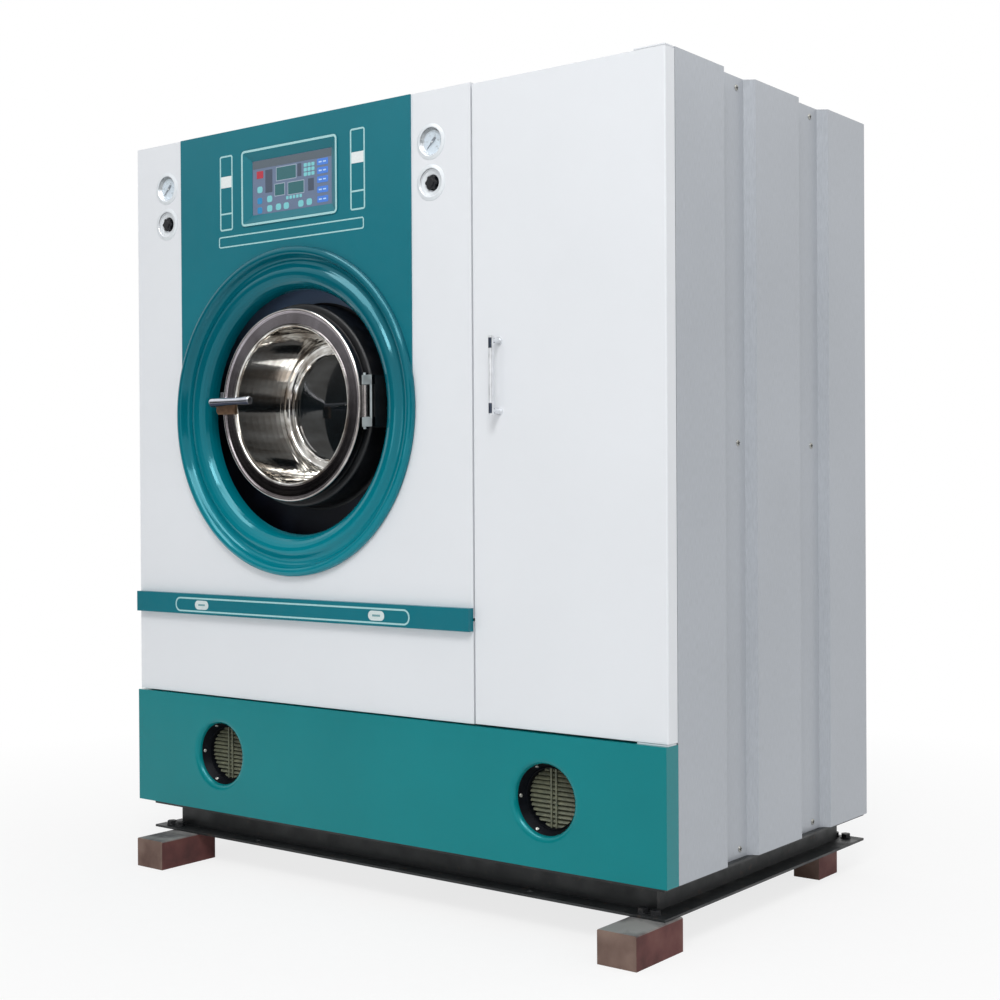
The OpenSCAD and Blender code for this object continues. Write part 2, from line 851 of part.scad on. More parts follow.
module door_gasket() {
    color(rubber) at_port(door_z) rotate_extrude($fn = 96) polygon(concat(
        [[frame_in + 6, door_back], [frame_in + 6, door_back - 2]],
        arc(frame_in + 11, door_back - 2.2, 2.5, 180, 360, 6),
        [[frame_in + 16, door_back - 2], [frame_in + 16, door_back]]));
}

/* ---- Hinge ---- */

ear_h = 20;
yoke_z = door_z - yoke_h / 2;
yoke_back = 2;
knuckle_r = 6.5;
rod_x = 21;
rod_r = 4;

// Two end caps carry the pin at the left and a thin rod at the right
module hinge_yoke() {
    cap_r = 8;
    color(chrome) cab() translate([hinge_x, 0, 0]) difference() {
        union() {
            for (z = [yoke_z, yoke_z + yoke_h - ear_h]) {
                translate([0, 0, z]) cylinder(r = cap_r, h = ear_h);
                translate([0, -cap_r, z]) cube([rod_x + rod_r, cap_r + yoke_back, ear_h]);
            }
            translate([rod_x, rod_r - cap_r, yoke_z]) cylinder(r = rod_r, h = yoke_h);
        }
        translate([0, 0, yoke_z - 1]) cylinder(r = door_pin_r + pin_gap, h = yoke_h + 2);
    }
}

module hinge_pin() {
    head_h = 5;
    color(chrome) cab() translate([hinge_x, 0, yoke_z]) {
        translate([0, 0, -head_h]) cylinder(r = door_pin_r, h = yoke_h + 2 * head_h);
        for (z = [-head_h, yoke_h]) translate([0, 0, z]) cylinder(r = door_pin_r + 2, h = head_h);
    }
}

module door_hinge_arm() {
    gap = 1;
    reach = 30;
    knuckle_z = yoke_z + ear_h + gap;
    knuckle_h = yoke_h - 2 * ear_h - 2 * gap;
    color(steel) cab() difference() {
        union() {
            translate([hinge_x, 0, knuckle_z]) cylinder(r = knuckle_r, h = knuckle_h);
            translate([hinge_x - reach, 1, knuckle_z]) cube([reach, knuckle_r, knuckle_h]);
        }
        translate([hinge_x, 0, knuckle_z - 1])
            cylinder(r = door_pin_r + pin_gap, h = knuckle_h + 2);
        translate([port_x, 0, door_z]) to_back() cylinder(r = door_r, h = 40);
    }
}

/* ---- Loading door ---- */

module door_ring() {
    roll = 5;
    bore = bowl_r + 2;
    face = 4;
    color(chrome) at_port(door_z) rotate_extrude($fn = 96) polygon(concat(
        [[bore, ring_d - 3], [bore, face + 1], [bore + 6, face]],
        [[door_r - 2 * roll - 1, face]],
        arc(door_r - roll, roll, roll, 200, 360, 8),
        [[door_r, ring_d - 4], [door_r - 3, ring_d], [bore + 4, ring_d]]));
}

// Deep pressed bowl that reaches into the tub and ends in a rolled seat for the glass
module door_bowl() {
    wall = 2;
    floor_r = glass_r + 29;
    inner = concat(
        bezier([bowl_r + 6, 1.5], [bowl_r + 1, 1.5], [bowl_r, 4], [bowl_r - 1, 12]),
        bezier([bowl_r - 1, 12], [bowl_r - 3, 60], [floor_r + 9, bowl_d - 32],
            [floor_r + 2, bowl_d - 14]),
        bezier([floor_r + 2, bowl_d - 14], [floor_r, bowl_d - 5], [floor_r - 4, bowl_d],
            [floor_r - 10, bowl_d]),
        arc(glass_r + 4.5, bowl_d - 3.5, 5, 45, -180, 8));
    outer = concat(
        [[glass_r, bowl_d + wall], [floor_r - 10, bowl_d + wall]],
        bezier([floor_r - 10, bowl_d + wall], [floor_r - 2, bowl_d + wall],
            [floor_r + 2, bowl_d - 2], [floor_r + 4, bowl_d - 14]),
        bezier([floor_r + 4, bowl_d - 14], [floor_r + 11, bowl_d - 32], [bowl_r - 1, 60],
            [bowl_r + 1, 12]),
        [[bowl_r + 2, 4], [bowl_r + 6, 3.9]]);
    color(chrome) at_port(door_z) rotate_extrude($fn = 96) polygon(concat(inner, outer));
}

glass_y = bowl_d + 2;

module door_glass() {
    color([0.1, 0.14, 0.15, 0.8]) at_port(door_z) translate([0, 0, glass_y])
        cylinder(r = glass_r + 9, h = glass_t);
}

module glass_clamp() {
    color(steel) at_port(door_z) rotate_extrude() polygon([
        [glass_r + 2, glass_y + glass_t], [glass_r + 9.2, glass_y + glass_t],
        [glass_r + 9.2, glass_y], [glass_r + 17, glass_y],
        [glass_r + 17, glass_y + glass_t + 1], [glass_r + 14, glass_y + glass_t + 4],
        [glass_r + 2, glass_y + glass_t + 4]]);
}

/* ---- Door lever and its keeper ---- */

bracket_y = -9;
bar_y = -20;
spindle_r = 5.5;
cam_y = 7;
cam_t = 6;
cam_l = 24;

// A cast plate on the door ring that reaches past its edge and carries the spindle
module latch_bracket() {
    back = -0.5;
    drop = 28;
    ring_face = 4;
    color(rust) cab() difference() {
        union() {
            translate([spindle_x, bracket_y, spindle_z]) to_back()
                linear_extrude(back - bracket_y) {
                    circle(11);
                    translate([-1, 0]) circle(10);
                    translate([-1, 0]) square([60, drop - 9]);
                    translate([8, 0]) square([51, drop]);
                    translate([8, drop - 10]) circle(10);
                }
            translate([port_x - door_r + 12, back - 1, spindle_z - 22])
                cube([ring_w - 21, ring_face - back + 1, 20]);
        }
        translate([spindle_x, bracket_y - 1, spindle_z]) to_back()
            cylinder(r = spindle_r + pin_gap, h = 20);
    }
}

// The bar, its spindle through the bracket, and the cam that turns in behind the keeper
module door_lever() {
    left = 7;
    end_r = 10;
    waist = 8.5;
    color(chrome) cab() translate([spindle_x, 0, spindle_z]) {
        translate([-left, bar_y, 0]) rotate([0, 90, 0]) rotate_extrude() polygon(concat([[0, 0]],
            arc(end_r - 4, 4, 4, 270, 360, 4),
            bezier([end_r, 20], [end_r, 40], [waist, 40], [waist, 70]),
            bezier([waist, 70], [waist, lever_l - 24], [end_r, lever_l - 24],
                [end_r, lever_l - 12]),
            arc(end_r - 2, lever_l - 2, 2, 0, 90, 4), [[0, lever_l]]));
        translate([0, bar_y, 0]) to_back() cylinder(r = spindle_r, h = cam_y + cam_t - bar_y);
        translate([0, bar_y, 0]) to_back() cylinder(r = 8, h = bracket_y - bar_y - 0.3);
        translate([-5, cam_y, 0]) cube([10, cam_t, cam_l]);
        translate([0, cam_y, 0]) to_back() cylinder(r = 7, h = cam_t);
        translate([0, cam_y + cam_t, 0]) to_back() cylinder(r = 7, h = 4, $fn = 6);
    }
}

// A post on the door frame with a lip that the lever's cam turns in behind
module latch_keeper() {
    post_w = 6;
    lip_y = 0.5;
    lip_t = 5.5;
    half = 9;
    post_x = spindle_x - cam_l - 2 - post_w;
    lip_end = spindle_x - 9.5;
    color(black) cab() difference() {
        translate([0, 0, spindle_z - half]) linear_extrude(2 * half) polygon([
            [post_x, lip_y], [lip_end, lip_y], [lip_end, lip_y + lip_t],
            [post_x + post_w, lip_y + lip_t], [post_x + post_w, door_back + 6],
            [spindle_x + 12, door_back + 10], [spindle_x + 12, 62], [post_x, 62]]);
        translate([port_x, 0, door_z]) to_back() cylinder(r = frame_r, h = 90);
    }
}

/* ---- Drum ---- */

drum_y = tub_y + 24;
drum_l = 390;
drum_wall = 3;
mouth_in = 186;

// Front plate of the drum with a rolled lip round its mouth
module drum_front_ring() {
    color(chrome) at_port(door_z) rotate_extrude($fn = 96) polygon(concat(
        [[drum_r, drum_y], [drum_r, drum_y + drum_wall]],
        [[mouth_in + 8, drum_y + drum_wall]],
        arc(mouth_in + 4, drum_y + drum_wall, 4, 0, 180, 6),
        [[mouth_in, drum_y]]));
}

lifter_at = [for (k = [0 : lifters - 1]) 90 + k * 360 / lifters];
lifter_half = 8;

// How many degrees an angle lies away from the nearest lifter
function off_lifter(a) = min([for (l = lifter_at) abs((a - l + 540) % 360 - 180)]);

module drum_cage() {
    hole_r = 6;
    row_step = (drum_l - 60) / (hole_rows - 1);
    hole_step = 360 / holes_round;
    color(chrome) at_port(door_z) translate([0, 0, drum_y]) {
        difference() {
            translate([0, 0, drum_wall]) cylinder(r = drum_r, h = drum_l - drum_wall, $fn = 96);
            cylinder(r = drum_r - drum_wall, h = drum_l - drum_wall, $fn = 96);
            for (i = [0 : hole_rows - 1], k = [0 : holes_round - 1]) {
                turn = (k + (i % 2) / 2) * hole_step;
                if (off_lifter(turn) > lifter_half + 2) rotate(turn)
                    translate([drum_r - 12, 0, 30 + i * row_step]) rotate([0, 90, 0])
                        cylinder(r = hole_r, h = 20);
            }
        }
        for (a = lifter_at) rotate(a) lifter();
    }
}

// A lifter rib welded inside the drum wall
module lifter() {
    high = 70;
    translate([0, 0, drum_wall + 1]) linear_extrude(drum_l - 2 * drum_wall)
        polygon(concat(arc(0, 0, drum_r - drum_wall / 2, -lifter_half, lifter_half, 8),
            arc(drum_r - high, 0, 16, 110, 250, 6)));
}

shaft_y = drum_y + drum_l;
pulley_y = tub_back + plate + housing_l + 10;
pulley_w = 40;

// Three arms on a hub, with the drum shaft
module drum_spider() {
    arms = 3;
    color(steel) at_port(door_z) translate([0, 0, shaft_y]) {
        cylinder(r = 70, h = 30);
        for (k = [0 : arms - 1]) rotate(30 + k * 360 / arms) translate([-30, 0, 0]) intersection() {
            cube([60, drum_r - 20, 20]);
            translate([30, 0, 0]) cylinder(r = drum_r - 22, h = 20);
        }
        cylinder(r = shaft_r, h = pulley_y + pulley_w + 8 - shaft_y);
    }
}

module grooved_rim(r, w, grooves) {
    step = w / (grooves + 0.5);
    rotate_extrude($fn = 96) polygon(concat(
        [[r - 24, 0], [r, 0]],
        [for (i = [0 : grooves - 1], p = [[0, 0.25], [-7, 0.5], [-7, 0.75], [0, 1]])
            [r + p[0], (i + p[1]) * step]],
        [[r, w], [r - 24, w]]));
}

module drum_pulley() {
    spokes = 5;
    hub = shaft_r + 22;
    color(steel) at_port(door_z) translate([0, 0, pulley_y]) {
        grooved_rim(pulley_r, pulley_w, 3);
        difference() {
            union() {
                cylinder(r = hub, h = pulley_w);
                for (k = [0 : spokes - 1]) rotate(k * 360 / spokes) translate([0, -14, 10])
                    cube([pulley_r - 20, 28, 20]);
            }
            translate([0, 0, -1]) cylinder(r = shaft_r, h = pulley_w + 2);
        }
    }
}

module bearing_housing() {
    ribs = 6;
    color(black) at_port(door_z) translate([0, 0, tub_back + plate]) difference() {
        union() {
            cylinder(r = 150, h = 14);
            rotate_extrude() polygon([[shaft_r, 0], [96, 0], [78, 30], [70, 60],
                [70, housing_l], [shaft_r, housing_l]]);
            for (k = [0 : ribs - 1]) rotate(k * 360 / ribs) rotate([90, 0, 0])
                translate([0, 0, -5]) linear_extrude(10)
                    polygon([[60, 0], [145, 0], [145, 14], [72, 90], [60, 90]]);
        }
        translate([0, 0, -1]) cylinder(r = shaft_r + pin_gap, h = housing_l + 2);
    }
}

/* ---- Motor and belt ---- */

motor_x = port_x + 140;
motor_z = 150;
motor_y0 = 440;
motor_y1 = pulley_y - 12;

module drive_motor() {
    fins = 16;
    foot_t = 12;
    color([0.25, 0.35, 0.5]) cab() translate([motor_x, 0, motor_z]) {
        to_back() translate([0, 0, motor_y0]) difference() {
            union() {
                cylinder(r = motor_r - 10, h = motor_y1 - motor_y0);
                for (k = [0 : fins - 1]) rotate(k * 360 / fins) translate([0, -1.5, 30])
                    cube([motor_r, 3, motor_y1 - motor_y0 - 60]);
                cylinder(r = motor_r, h = 26);
                translate([0, 0, motor_y1 - motor_y0 - 26]) cylinder(r = motor_r, h = 26);
            }
            translate([0, 0, motor_y1 - motor_y0 - 60]) cylinder(r = 12 + pin_gap, h = 70);
        }
        for (y = [motor_y0 + 40, motor_y1 - 80]) translate([-150, y, -motor_z]) {
            cube([290, 40, foot_t]);
            translate([90, 0, 0]) cube([120, 40, motor_z - 60]);
        }
    }
}

module motor_pulley() {
    color(steel) cab() translate([motor_x, pulley_y, motor_z]) to_back() {
        grooved_rim(motor_pulley_r, pulley_w, 3);
        cylinder(r = motor_pulley_r - 20, h = pulley_w);
        translate([0, 0, motor_y1 - pulley_y - 50]) cylinder(r = 12, h = 50 + pulley_y - motor_y1);
    }
}

// The belt's line: round the far side of the big pulley, then round the small one
function belt_line(big, small, far, lean, n = 24) = concat(
    arc(0, 0, big, 90 - lean, 270 + lean, n), arc(far, 0, small, lean - 90, 90 - lean, n));

module drive_belt() {
    belt_t = 8;
    bends = 24;
    dx = motor_x - port_x;
    dz = door_z - motor_z;
    far = sqrt(dx * dx + dz * dz);
    lean = asin((pulley_r - motor_pulley_r) / far);
    flat = cos((90 + lean) / bends);
    big = (pulley_r + seat_gap) / flat;
    small = (motor_pulley_r + seat_gap) / flat;
    color(rubber) cab() translate([0, pulley_y + 3, 0]) to_back() linear_extrude(pulley_w - 6)
        translate([port_x, -door_z]) rotate(atan2(dz, dx)) difference() {
            polygon(belt_line(big + belt_t, small + belt_t, far, lean, bends));
            polygon(belt_line(big, small, far, lean, bends));
        }
}

/* ---- Solvent system and electrics ---- */

tank_z = 330;

module solvent_tank() {
    tank = [620, 300, tank_z];
    lid_r = 70;
    color(steel) cab() translate([port_x - tank[0] / 2, 110, 0]) {
        difference() {
            cube(tank);
            translate([4, 4, 4]) cube([tank[0] - 8, tank[1] - 8, tank[2]]);
        }
        translate([0, 0, tank[2]]) cube([tank[0], tank[1], 4]);
        for (x = [0.25, 0.75]) translate([x * tank[0], tank[1] / 2, tank[2] + 4]) {
            cylinder(r = lid_r, h = 8);
            for (a = [0 : 60 : 300]) rotate(a) translate([lid_r - 12, 0, 8])
                cylinder(r = 7, h = 6, $fn = 6);
        }
    }
}

// A foot, a motor lying along x, and the pump's casing with its upright outlet
module solvent_pump() {
    pump_y = 320;
    foot = [280, 120, 10];
    motor_h = 110;
    casing_x = -105;
    casing_w = 56;
    color([0.25, 0.35, 0.5]) cab() translate([vessel_x - 75, pump_y, 0]) {
        translate([-130, -foot[1] / 2, 0]) cube(foot);
        translate([-60, -45, foot[2]]) cube([150, 90, 40]);
        translate([0, 0, motor_h]) rotate([0, 90, 0]) {
            translate([0, 0, -50]) cylinder(r = 62, h = 190);
            translate([0, 0, casing_x]) cylinder(r = 75, h = casing_w);
        }
        translate([casing_x + casing_w / 2, 0, motor_h]) {
            cylinder(r = 18, h = 110);
            translate([0, 0, 104]) cylinder(r = 34, h = 10);
        }
    }
}

// A steel shell on four legs, with domed ends and a flange for its lid
module filter_vessel() {
    wall = 4;
    low = 150;
    high = 790;
    port = 40;
    color(steel) cab() translate([vessel_x, vessel_y, 0]) {
        rotate_extrude() polygon(concat([[0, low - 60], [port, low - 60]],
            bezier([port, low - 60], [vessel_r - 30, low - 58], [vessel_r, low - 40],
                [vessel_r, low]),
            [[vessel_r, high - 30], [vessel_r + 18, high - 30], [vessel_r + 18, high],
                [vessel_r, high]],
            bezier([vessel_r, high], [vessel_r, high + 40], [vessel_r - 40, high + 60],
                [0, high + 62]),
            bezier([0, high + 62 - wall], [vessel_r - 42, high + 56],
                [vessel_r - wall, high + 38], [vessel_r - wall, high]),
            bezier([vessel_r - wall, low], [vessel_r - wall, low - 36],
                [vessel_r - 32, low - 54], [port, low - 56]),
            [[0, low - 56]]));
        for (a = [45 : 90 : 315]) rotate(a) translate([vessel_r - 25, -10, 0])
            cube([20, 20, low + 50]);
    }
}

module electrical_box() {
    box = [300, 200, 420];
    box_at = [seam_x + tube_w / 2 + 30, 250, 1020];
    lid_t = 2;
    color(grey) cab() translate(box_at) {
        difference() {
            cube(box);
            translate([3, -1, 3]) cube(box - [6, 2, 6]);
        }
        translate([0, -lid_t, 0]) cube([box[0], lid_t, box[2]]);
        for (z = [0, box[2] - 40]) translate([-30, mid_post_y - box_at[1], z])
            cube([31, 20, 40]);
    }
}

base_frame();
front_left_block();
front_right_block();
rear_left_block();
rear_right_block();
base_bolts();
skirt_panel();
left_vent_grille();
right_vent_grille();
panel_screws();
lower_front_panel();
upper_front_panel();
fascia_plate();
port_surround();
trim_bar();
display_bezel();
touch_screen();
gauge_cases();
gauge_lenses();
left_gauge_needle();
right_gauge_needle();
regulator_bezels();
left_regulator_knob();
right_regulator_knob();
service_door();
service_door_handle();
service_door_pivots();
left_side_panel();
right_side_panel();
rear_panel();
top_panel();
pipe_stubs();
cabinet_frame();
tub_shell();
tub_front();
tub_cradle();
door_frame();
door_gasket();
hinge_yoke();
hinge_pin();
latch_keeper();
door_ring();
door_bowl();
door_glass();
glass_clamp();
door_hinge_arm();
latch_bracket();
door_lever();
drum_front_ring();
drum_cage();
drum_spider();
drum_pulley();
bearing_housing();
drive_motor();
motor_pulley();
drive_belt();
solvent_tank();
solvent_pump();
filter_vessel();
electrical_box();
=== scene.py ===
"""Dry cleaning machine: finishes, printed details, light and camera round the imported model.

Metres, in the model's own frame: +X right seen from the front, +Y to the back, +Z up.
"""
import json
import math

import bmesh
import bpy
from mathutils import Matrix, Vector


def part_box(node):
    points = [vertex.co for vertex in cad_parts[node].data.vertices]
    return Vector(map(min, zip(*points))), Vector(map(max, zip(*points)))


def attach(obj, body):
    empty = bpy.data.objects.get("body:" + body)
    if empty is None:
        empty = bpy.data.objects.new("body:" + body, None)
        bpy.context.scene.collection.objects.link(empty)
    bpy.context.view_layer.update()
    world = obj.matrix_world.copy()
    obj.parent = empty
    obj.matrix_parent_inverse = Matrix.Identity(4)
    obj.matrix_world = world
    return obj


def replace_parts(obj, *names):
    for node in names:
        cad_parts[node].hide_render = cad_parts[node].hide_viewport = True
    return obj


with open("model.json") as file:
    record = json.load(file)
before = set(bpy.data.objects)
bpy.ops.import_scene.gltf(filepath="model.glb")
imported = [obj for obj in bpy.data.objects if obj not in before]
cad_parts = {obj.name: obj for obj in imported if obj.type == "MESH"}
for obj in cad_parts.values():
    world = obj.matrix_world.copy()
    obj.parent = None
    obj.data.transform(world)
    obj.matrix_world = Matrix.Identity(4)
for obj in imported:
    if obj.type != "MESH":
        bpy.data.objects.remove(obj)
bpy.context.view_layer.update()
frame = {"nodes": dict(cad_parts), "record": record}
nodes = frame["nodes"]

# ---------------------------------------------------------------- places

MM = 0.001
CORNER = Vector((-0.750, -0.41225, 0.127))  # lower left front corner of the panels

# Places and sizes in millimetres; places are measured from the corner.
CABINET_W = 1500
PORT_X = 519.5
DOOR_Z = 938
SURROUND_Z = 923
FASCIA_Y = 4.5
BAR_Y = -8
GAUGE_X = (107.5, 931.5)
GAUGE_Z = 1469
BOWL_R = 174
DOOR_R = 216
VENT_X = (284, 1216)
VENT_Z = 134.5
FACE_Y = 8
REGULATOR_Z = 1384


def at(x, y, z):
    """A place in millimetres from the lower left front corner of the panels."""
    return CORNER + Vector((x, y, z)) * MM


# ---------------------------------------------------------------- node helpers

def srgb(r, g, b):
    """A colour of 0 to 255 as the linear values that a shader takes."""
    def linear(v):
        v /= 255
        return v / 12.92 if v <= 0.04045 else ((v + 0.055) / 1.055) ** 2.4
    return (linear(r), linear(g), linear(b), 1)


class Finish:
    """A material with one Principled shader, and short calls that add nodes to it.

    The edge is the radius in metres by which sharp corners look rounded.
    """

    def __init__(self, name, color, rough, metal=0.0, edge=0.0008, **sockets):
        self.mat = bpy.data.materials.new(name)
        self.mat.use_nodes = True
        self.tree = self.mat.node_tree
        self.shader = self.tree.nodes["Principled BSDF"]
        self.shader.inputs["Base Color"].default_value = color
        self.shader.inputs["Roughness"].default_value = rough
        self.shader.inputs["Metallic"].default_value = metal
        for key, value in sockets.items():
            self.shader.inputs[key.replace("_", " ")].default_value = value
        self.place = self.add("ShaderNodeTexCoord").outputs["Object"]
        if edge:
            corner = self.add("ShaderNodeBevel", samples=4)
            corner.inputs["Radius"].default_value = edge
            self.link(corner.outputs["Normal"], self.shader.inputs["Normal"])
            self.link(corner.outputs["Normal"], self.shader.inputs["Coat Normal"])

    def add(self, kind, **settings):
        """A new node with its settings."""
        node = self.tree.nodes.new(kind)
        for key, value in settings.items():
            setattr(node, key, value)
        return node

    def link(self, out, into):
        self.tree.links.new(out, into)

    def math(self, how, a, b=None):
        """A math node fed by numbers or by other outputs."""
        node = self.add("ShaderNodeMath", operation=how)
        for socket, value in zip(node.inputs, (a, b)):
            if value is None:
                continue
            if isinstance(value, (int, float)):
                socket.default_value = value
            else:
                self.link(value, socket)
        return node.outputs[0]

    def stretched(self, scale, where=None):
        """Coordinates scaled along their three axes."""
        node = self.add("ShaderNodeMapping")
        node.inputs["Scale"].default_value = scale
        self.link(where or self.place, node.inputs["Vector"])
        return node.outputs["Vector"]

    def noise(self, scale, detail=3.0, where=None):
        """Cloudy noise between 0 and 1, finer at a larger scale."""
        node = self.add("ShaderNodeTexNoise")
        node.inputs["Scale"].default_value = scale
        node.inputs["Detail"].default_value = detail
        self.link(where or self.place, node.inputs["Vector"])
        return node.outputs["Fac"]

    def round_place(self, x, z):
        """Coordinates round an axis along Y: angle, depth and radius."""
        centre = at(x, 0, z)
        parts = self.add("ShaderNodeSeparateXYZ")
        self.link(self.place, parts.inputs[0])
        dx = self.math("SUBTRACT", parts.outputs["X"], centre.x)
        dz = self.math("SUBTRACT", parts.outputs["Z"], centre.z)
        angle = self.math("ARCTAN2", dz, dx)
        radius = self.math("SQRT", self.math("ADD", self.math("MULTIPLY", dx, dx),
                                             self.math("MULTIPLY", dz, dz)))
        joined = self.add("ShaderNodeCombineXYZ")
        self.link(angle, joined.inputs["X"])
        self.link(parts.outputs["Y"], joined.inputs["Y"])
        self.link(radius, joined.inputs["Z"])
        return joined.outputs[0]

    def ramp(self, factor, stops):
        """Colours or grey levels between stops of (position, value)."""
        node = self.add("ShaderNodeValToRGB")
        band = node.color_ramp
        while len(band.elements) < len(stops):
            band.elements.new(0.5)
        for element, (position, value) in zip(band.elements, stops):
            element.position = position
            element.color = value if isinstance(value, tuple) else (value, value, value, 1)
        self.link(factor, node.inputs["Fac"])
        return node.outputs["Color"]

    def blend(self, factor, low, high):
        """One colour where the factor is 0, another where it is 1."""
        node = self.add("ShaderNodeMix", data_type="RGBA")
        for socket, value in zip((node.inputs["Factor"], node.inputs[6], node.inputs[7]),
                                 (factor, low, high)):
            self.link(value, socket)
        return node.outputs[2]

    def axis(self, name, low, high):
        """0 to 1 along an axis of the model, between two places in metres."""
        parts = self.add("ShaderNodeSeparateXYZ")
        self.link(self.place, parts.inputs[0])
        node = self.add("ShaderNodeMapRange")
        node.inputs["From Min"].default_value = low
        node.inputs["From Max"].default_value = high
        self.link(parts.outputs[name], node.inputs["Value"])
        return node.outputs["Result"]

    def facing(self, name):
        """The part of the surface's direction that lies along an axis of its piece."""
        parts = self.add("ShaderNodeSeparateXYZ")
        self.link(self.add("ShaderNodeTexCoord").outputs["Normal"], parts.inputs[0])
        return parts.outputs[name]

    def color(self, out):
        self.link(out, self.shader.inputs["Base Color"])
        return self

    def rough(self, out):
        self.link(out, self.shader.inputs["Roughness"])
        return self

    def bump(self, height, depth):
        """Relief of that depth in metres; a second call lies on top of the first."""
        node = self.add("ShaderNodeBump")
        node.inputs["Distance"].default_value = depth
        self.link(height, node.inputs["Height"])
        before = self.shader.inputs["Normal"]
        if before.is_linked:
            self.link(before.links[0].from_socket, node.inputs["Normal"])
        self.link(node.outputs["Normal"], before)
        return self


def shade(color, factor):
    """A colour made darker or lighter."""
    return tuple(min(1, c * factor) for c in color[:3]) + (1,)


# ---------------------------------------------------------------- finishes

SOFT_EDGE = 0.0012
PEEL = 0.000006
SCREEN_GLOW = 0.12


def enamel(name, color, rough=0.3, gloss=0.5, tone=0.05, shine=(1, 1, 1, 1)):
    """Sprayed enamel: slight orange peel, soft changes of tone and a tinted shine."""
    f = Finish(name, color, rough, edge=SOFT_EDGE, Specular_Tint=shine,
               Specular_IOR_Level=gloss)
    cloud = f.noise(3.0, 4)
    f.color(f.ramp(cloud, [(0.3, shade(color, 1 - tone)), (0.7, shade(color, 1 + tone))]))
    f.rough(f.ramp(f.noise(40, 3), [(0.3, rough * 0.93), (0.7, rough * 1.2)]))
    f.bump(f.noise(260, 2), PEEL)
    return f.mat


def port_enamel_painted_light(foot, head):
    """The surround's glossy enamel with painted light: brighter towards its foot and deeper in
    tone towards its top.
    """
    f = Finish("port_enamel_painted_light", head, 0.11, edge=SOFT_EDGE, Specular_Tint=CYAN_SHINE,
               Specular_IOR_Level=0.6)
    # Painted light: the base colour runs from the bright foot colour low down to the deeper head
    # colour at the top.
    rise = f.axis("Z", at(0, 0, SURROUND_Z - 300).z, at(0, 0, SURROUND_Z + 200).z)
    cloud = f.math("MULTIPLY", f.noise(3.0, 4), 0.1)
    f.color(f.ramp(f.math("ADD", rise, cloud), [(0.05, foot), (0.85, head)]))
    f.rough(f.ramp(f.noise(40, 3), [(0.3, 0.1), (0.7, 0.14)]))
    f.bump(f.noise(260, 2), PEEL)
    return f.mat


def side_sheet_paint(color):
    """Pale enamel over rolled sheet, with a fine upright grain and soft clouds."""
    f = Finish("side_paint", color, 0.38, Coat_Weight=0.15, Coat_Roughness=0.2)
    grain = f.noise(1.0, 4, f.stretched((700, 700, 60)))
    cloud = f.noise(2.5, 3)
    mixed = f.math("ADD", f.math("MULTIPLY", grain, 0.7), f.math("MULTIPLY", cloud, 0.3))
    f.color(f.ramp(mixed, [(0.35, shade(color, 0.9)), (0.65, shade(color, 1.08))]))
    f.rough(f.ramp(grain, [(0.3, 0.32), (0.7, 0.48)]))
    f.bump(grain, 0.00004)
    return f.mat


def worn_black(name, color, rust):
    """Black brushed paint on steel, dusty, with small rusty spots."""
    f = Finish(name, color, 0.45)
    spots = f.noise(55, 6)
    f.color(f.ramp(spots, [(0.3, shade(color, 0.7)), (0.62, color), (0.72, rust)]))
    f.rough(f.ramp(f.noise(20, 4), [(0.3, 0.35), (0.7, 0.62)]))
    f.bump(f.noise(160, 4), 0.00012)
    return f.mat


def rusty_block():
    """Steel blocks: brown-grey scale in front, darker red-brown on the sides and greyer on top,
    coloured by which way each face points.
    """
    f = Finish("rusty_block", srgb(112, 78, 68), 0.8)
    patches = f.noise(11, 6)
    scale = f.ramp(patches, [(0.3, srgb(88, 66, 58)), (0.5, srgb(114, 92, 82)),
                             (0.7, srgb(130, 108, 96))])
    side_red_brown = f.ramp(patches, [(0.3, srgb(58, 28, 27)), (0.5, srgb(90, 46, 43)),
                              (0.7, srgb(102, 58, 50))])
    top = f.ramp(patches, [(0.4, srgb(62, 62, 64)), (0.55, srgb(128, 128, 126))])
    # Darker, redder colour on the faces that point along X, greyer on the faces that point up.
    sides = f.blend(f.math("ABSOLUTE", f.facing("X")), scale, side_red_brown)
    f.color(f.blend(f.math("MAXIMUM", f.facing("Z"), 0.0), sides, top))
    f.rough(f.ramp(patches, [(0.3, 0.9), (0.7, 0.6)]))
    f.bump(f.noise(90, 6), 0.0005)
    return f.mat


def turned_grain(f, around):
    """The fine rings of turned steel, and soft streaky bands round the axis that are partly
    polish marks and partly painted reflection.
    """
    rings = f.noise(1.0, 3, f.stretched((0.6, 900, 900), around))
    polish_and_painted_reflection = f.noise(1.0, 3, f.stretched((2.6, 5, 3), around))
    return rings, polish_and_painted_reflection


def polished_round(name, x, z, dark, mid, light, rough):
    """Turned and polished steel: fine rings, faint dents, and soft streaky bands of colour round
    an axis that are partly polish marks and partly painted reflection.
    """
    f = Finish(name, mid, rough, metal=1.0)
    rings, polish_and_painted_reflection = turned_grain(f, f.round_place(x, z))
    # Partly painted reflection: the colour bands stand in for dark and bright streaks mirrored
    # in the polished steel.
    f.color(f.ramp(polish_and_painted_reflection, [(0.34, dark), (0.5, mid), (0.66, light)]))
    f.rough(f.ramp(rings, [(0.3, rough * 0.7), (0.7, rough * 1.4)]))
    f.bump(f.noise(7, 2), 0.0006)
    f.bump(rings, 0.00001)
    return f.mat


